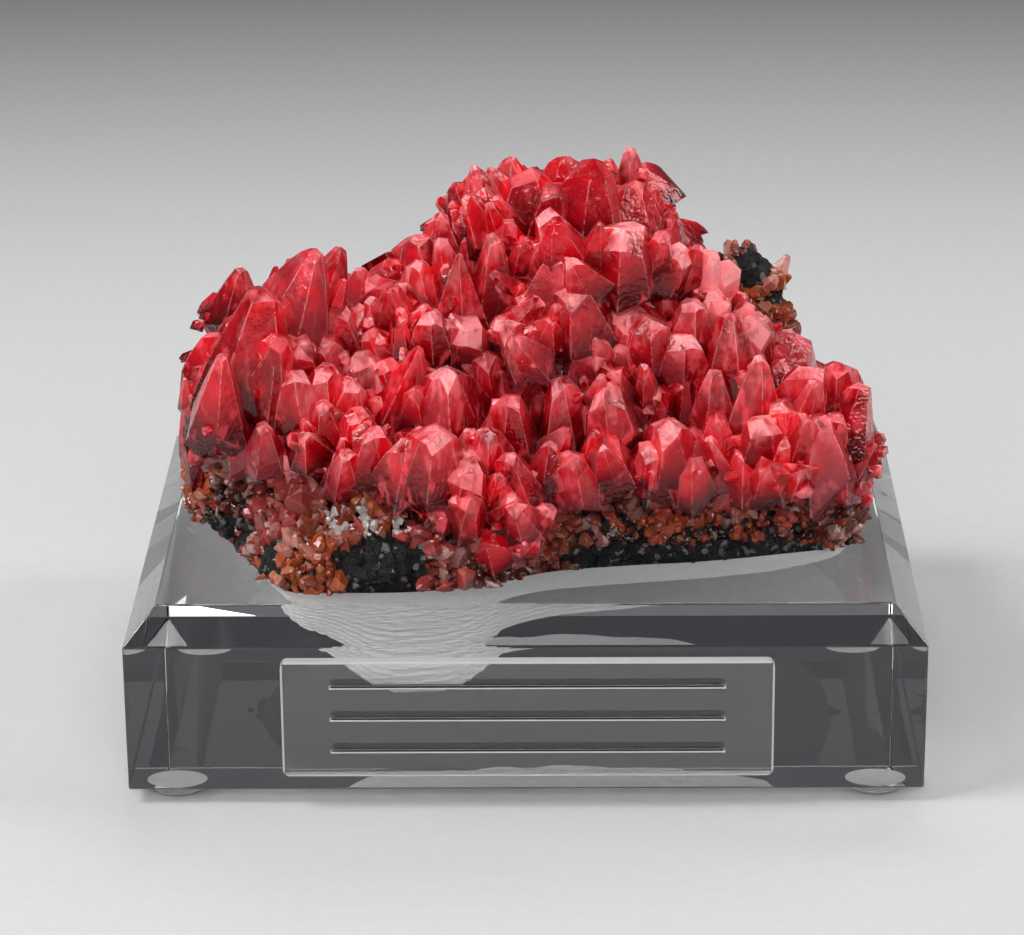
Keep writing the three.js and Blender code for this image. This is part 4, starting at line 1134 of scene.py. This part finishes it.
def clearBlock():
    length, depth = blockHigh[0] - blockLow[0], blockHigh[1] - blockLow[1]
    r = block["rounding"]
    corners = [(0.0, blockLow[2]), (0.0, topHeight - block["bevelDrop"]), (block["bevelInset"], topHeight)]
    outline = roundedProfile([(r, blockLow[2])] + corners + [(block["bevelInset"] + 3, topHeight)], r)
    rings = [roundedRing(length - 2 * inset, depth - 2 * inset, max(0.15, r * 1.2), z) for inset, z in outline]
    middle = [[0, blockMiddleY, blockLow[2]], [0, blockMiddleY, topHeight]]
    outer = meshFrom("clear_block", np.concatenate(rings + [middle]), gridSets(len(rings), len(rings[0])))
    edge = closedCurve(rim, 240)
    whole = steppedDepth(pocketCentre + (edge - pocketCentre) * block["floorShare"])
    levels = [np.concatenate([edge, np.full((len(edge), 1), height)], 1) for height in (2.0, 0.0)]
    for part in np.linspace(0.05, 0.97, block["wallLevels"]):
        # the wall leans in a little, with a ripple left by the cutter
        lean = 1 - 0.02 * part - 0.0022 * math.sin(part * 75)
        levels.append(np.concatenate([pocketCentre + (edge - pocketCentre) * lean, (-whole * part)[:, None]], 1))
    for share in np.linspace(0.972, 0.03, block["floorLevels"]):
        ring = pocketCentre + (edge - pocketCentre) * share
        levels.append(np.concatenate([ring, -steppedDepth(ring)[:, None]], 1))
    levels = levels[::-1]
    low = np.append(pocketCentre, levels[0][:, 2].mean())
    high = np.append(pocketCentre, 2.0)
    hollow = meshFrom("hollow", *lifted((np.concatenate(levels + [[low], [high]]), gridSets(len(levels), len(edge)))))
    return joinSolids([outer, hollow], "DIFFERENCE")


def insideBox(g, place, low, high, soft):
    # 1 inside the box (mm), easing to 0 over the soft distance
    share = 1.0
    for axis in range(3):
        along = g.node("ShaderNodeSeparateXYZ", {}, place, out=axis)
        if low[axis] is not None:
            share = along.over((low[axis] - soft) * mm, low[axis] * mm) * share
        if high[axis] is not None:
            share = (1 - along.over(high[axis] * mm, (high[axis] + soft) * mm)) * share
    return share


def acrylicMaterial():
    # clear all over; the milled pocket is frosted, told by its place inside the block
    g = Graph("clearAcrylic")
    place = g.place()
    milled = insideBox(g, place, (-46, blockLow[1] + 5, 8), (46, blockHigh[1] - 5, topHeight - 0.06), 0.03)
    swirls = g.noise(g.stretch(place, (1.0, 1.0, 6.0)), 500.0, 1.0, 0.6)
    scuffs = g.noise(place, 1100.0, 0.0, 0.6)
    bumps = g.bump(swirls * milled, 0.6, 0.0006)
    clear = g.node("ShaderNodeBsdfPrincipled", {}, BaseColor=block["clear"], Roughness=milled * 0.42, IOR=1.49,
                   TransmissionWeight=1.0, Normal=bumps)
    haze = g.node("ShaderNodeBsdfPrincipled", {}, BaseColor=block["milled"], Roughness=0.45 + 0.2 * scuffs,
                  Normal=bumps)
    g.surface(g.node("ShaderNodeMixShader", {}, milled * (0.8 + 0.3 * swirls).clamp(), clear, haze))
    g.volume(g.node("ShaderNodeVolumeAbsorption", {}, Color=block["absorbed"], Density=1.2))
    return g.material


acrylic = acrylicMaterial()
finishPiece(clearBlock(), acrylic, "acrylic_base", sharp=4)

# ---- the label plate ----

plate = {
    "corner": 0.9, "rounding": 0.12,
    "lines": (0.78, 0.5, 0.22),      # heights of the engraved lines, as shares of the plate
    "lineLength": 50.0, "lineWidth": 0.45, "lineDepth": 0.3,
    "frostedEdge": 0.25,     # width of the sawn edge that shows
    "paintDark": (0.78, 0.77, 0.75), "paintLight": (0.93, 0.92, 0.90),
}


def plateLines():
    middle = (plateLow[0] + plateHigh[0]) / 2
    for share in plate["lines"]:
        yield middle, plateLow[2] + (plateHigh[2] - plateLow[2]) * share


def slab(name, middle, size, corner, rounding, around=6):
    # a rounded rectangle in X and Z, with eased edges, thick along Y
    length, thick, height = size
    profile = [(0.6, -thick / 2), (0.0, -thick / 2), (0.0, thick / 2), (0.6, thick / 2)]
    outline = roundedProfile(profile, rounding)
    rings = []
    for inset, y in outline:
        ring = roundedRing(length - 2 * inset, height - 2 * inset, max(corner - inset, 0.05), 0, around)
        rings.append(np.stack([ring[:, 0], 0 * ring[:, 0] + y, ring[:, 1] - blockMiddleY], -1))
    poles = [[0, -thick / 2, 0], [0, thick / 2, 0]]
    sets = [s[:, ::-1] for s in gridSets(len(rings), len(rings[0]))]
    return meshFrom(name, np.concatenate(rings + [poles]) + middle, sets)


def labelPlate():
    size = plateHigh - plateLow
    pieces = [slab("plate", (plateLow + plateHigh) / 2, size, plate["corner"], plate["rounding"])]
    for x, z in plateLines():
        groove = (plate["lineLength"], plate["lineDepth"] * 2, plate["lineWidth"])
        pieces.append(slab("groove", np.array([x, plateLow[1], z]), groove, plate["lineWidth"] * 0.4, 0.05))
    return joinSolids(pieces, "DIFFERENCE")


def plateMaterial():
    # clear, with sawn frosted edges and white-filled engraved lines
    g = Graph("clearPlate")
    place = g.place()
    sawn = plate["frostedEdge"]
    inner = insideBox(g, place, (plateLow[0] + sawn, None, plateLow[2] + sawn),
                      (plateHigh[0] - sawn, None, plateHigh[2] - sawn), 0.05)
    engraved = 0.0
    half = plate["lineWidth"] / 2
    for x, z in plateLines():
        length = plate["lineLength"] / 2
        low, high = (x - length, None, z - half), (x + length, plateLow[1] + 0.5, z + half)
        engraved = engraved + insideBox(g, place, low, high, 0.02)
    grain = g.noise(place, 2000.0, 1.0, 0.6)
    frosted = ((1 - inner) * 0.5 + engraved).clamp()
    clear = g.node("ShaderNodeBsdfPrincipled", {}, BaseColor=block["clear"], Roughness=(1 - inner) * 0.35,
                   IOR=1.49, TransmissionWeight=1.0, Normal=g.bump(grain * frosted, 0.3, 0.0003))
    paint = g.mix(grain, plate["paintDark"], plate["paintLight"])
    white = g.node("ShaderNodeBsdfPrincipled", {}, BaseColor=paint, Roughness=0.55)
    g.surface(g.node("ShaderNodeMixShader", {}, frosted, clear, white))
    return g.material


finishPiece(labelPlate(), plateMaterial(), "label_plate", sharp=4)

# ---- the bumper feet ----

feet = {
    # radius, height; the top lies just inside the block, as a pressed-on bumper does
    "profile": [(1.6, 0.0), (2.0, 0.02), (2.8, 0.16), (3.4, 0.48), (3.8, 0.95), (3.93, 1.4), (3.93, 1.85),
                (3.86, 2.1)],
    "around": 48,
    "gluedAbove": (1.9, 2.0),
    "clear": (0.93, 0.93, 0.92), "dust": (0.86, 0.86, 0.84),
}


def bumper(node):
    # the profile (radius, height) turned about the foot's own middle
    low, high = [np.array(corner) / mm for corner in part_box(node)]
    middle = (low + high) / 2
    b = np.arange(feet["around"]) * 2 * math.pi / feet["around"]
    radii, heights = np.array(feet["profile"]).T
    rings = np.stack([radii[:, None] * np.cos(b), radii[:, None] * np.sin(b), heights[:, None] + 0 * b], -1)
    poles = [[0, 0, heights[0]], [0, 0, heights[-1]]]
    points = np.concatenate([rings.reshape(-1, 3), poles]) + [middle[0], middle[1], low[2]]
    return meshFrom(node + "_bumper", points, gridSets(len(radii), len(b)))


def bumperMaterial():
    # clear and a little cloudy, with some dust; the glued top is whiter: share = 0.12 + 0.2 cloudy + 0.45 glued
    g = Graph("clearBumper")
    place = g.place()
    cloudy = g.noise(place, 700.0, 3.0, 0.6)
    soft = g.node("ShaderNodeBsdfPrincipled", {}, BaseColor=feet["clear"], Roughness=0.12 + 0.1 * cloudy,
                  IOR=1.5, TransmissionWeight=1.0, Normal=g.bump(cloudy, 0.1, 0.0004))
    dust = g.node("ShaderNodeBsdfPrincipled", {}, BaseColor=feet["dust"], Roughness=0.5)
    low, high = feet["gluedAbove"]
    glued = g.node("ShaderNodeSeparateXYZ", {}, place, out=2).over(low * mm, high * mm)
    g.surface(g.node("ShaderNodeMixShader", {}, (0.12 + 0.2 * cloudy + 0.45 * glued).clamp(), soft, dust))
    return g.material


bumperLook = bumperMaterial()
for node in sorted(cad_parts):
    if node.startswith("foot_"):
        finishPiece(bumper(node), bumperLook, node, sharp=40)
print("block, plate and feet made")

# ---- camera, floor and lights ----

view = {
    "lens": 138.26, "sensor": 36,            # mm
    "place": (4.94, -491.46, 220.05),        # mm
    "down": 20.969, "left": 0.8015, "roll": -0.489,      # degrees
}
studio = {
    "floorFront": -900, "floorBack": 620, "sweep": 500, "wall": 900, "halfWidth": 1500,      # mm
    # the floor goes from its near grey to a dark far colour: painted shade for the light falling off towards the back
    "floorNear": (0.62, 0.62, 0.62), "floorFar": (0.13, 0.122, 0.138),
    "world": (0.62, 0.62, 0.64), "worldStrength": 0.22,
    "lamps": [
        # name, place (mm), size (mm), power in watts
        ("softboxLeft", (-420, -160, 520), (300, 300), 2.9),
        ("softboxRight", (520, 20, 380), (240, 320), 1.3),
        ("softboxBack", (60, 340, 540), (460, 200), 1.2),
        ("softboxFront", (-60, -620, 420), (620, 260), 2.6),
    ],
}


def addCamera():
    camera = bpy.data.cameras.new("camera")
    camera.lens = view["lens"]
    camera.sensor_width = view["sensor"]
    camera.clip_start = 0.01
    holder = bpy.data.objects.new("camera", camera)
    bpy.context.scene.collection.objects.link(holder)
    pitch, yaw, roll = math.radians(view["down"]), math.radians(-view["left"]), math.radians(view["roll"])
    forward = Vector((math.sin(yaw) * math.cos(pitch), math.cos(yaw) * math.cos(pitch), -math.sin(pitch)))
    right = Vector((math.cos(yaw), -math.sin(yaw), 0))
    up = right.cross(forward)
    turnedRight = right * math.cos(roll) + up * math.sin(roll)
    turnedUp = up * math.cos(roll) - right * math.sin(roll)
    turned = Matrix((turnedRight, turnedUp, -forward)).transposed().to_4x4()
    holder.matrix_world = Matrix.Translation(Vector(view["place"]) * mm) @ turned
    bpy.context.scene.camera = holder


def sweepFloor():
    # a profile (y, z) of flat floor, quarter-circle sweep and wall, carried along X
    turn = np.linspace(0, math.pi / 2, 20)
    y = np.concatenate([[studio["floorFront"], 0], studio["floorBack"] + studio["sweep"] * np.sin(turn)])
    z = np.concatenate([[0, 0], studio["sweep"] * (1 - np.cos(turn))])
    y, z = np.append(y, y[-1]), np.append(z, studio["wall"])
    x = np.array([-1, 1]) * studio["halfWidth"]
    points = np.stack([x[:, None] + 0 * y, 0 * x[:, None] + y, 0 * x[:, None] + z], -1).reshape(-1, 3)
    k = np.arange(len(y) - 1)
    floor = meshFrom("floor", points, [np.stack([k, k + len(y), k + len(y) + 1, k + 1], -1)])
    floor.data.shade_smooth()
    g = Graph("paleFloor")
    place = g.place()
    # painted shade: the floor darkens towards the back, standing for the light falling off there
    back = g.node("ShaderNodeSeparateXYZ", {}, place, out=1).over(0.12, 0.52)
    fibre = g.noise(place, 500.0, 0.0, 0.6)
    colour = g.mix(back, studio["floorNear"], studio["floorFar"])
    colour = g.mix(fibre * 0.04, colour, (0.0, 0.0, 0.0))
    g.surface(g.node("ShaderNodeBsdfDiffuse", {}, Color=colour))
    floor.data.materials.append(g.material)


def addLamps():
    for name, place, size, power in studio["lamps"]:
        lamp = bpy.data.lights.new(name, "AREA")
        lamp.shape = "RECTANGLE"
        lamp.size, lamp.size_y = size[0] * mm, size[1] * mm
        lamp.energy = power
        holder = bpy.data.objects.new(name, lamp)
        bpy.context.scene.collection.objects.link(holder)
        holder.location = Vector(place) * mm
        holder.rotation_euler = (Vector((0, 0, 0.04)) - holder.location).to_track_quat("-Z", "Y").to_euler()
    world = bpy.data.worlds.new("studio")
    world.use_nodes = True
    background = world.node_tree.nodes["Background"].inputs
    background["Color"].default_value = (*studio["world"], 1)
    background["Strength"].default_value = studio["worldStrength"]
    world.cycles.sampling_method = "NONE"      # it is even all over, so it needs no aimed rays
    bpy.context.scene.world = world


addCamera()
sweepFloor()
addLamps()
bpy.context.scene.view_settings.view_transform = "Standard"
print("studio ready")
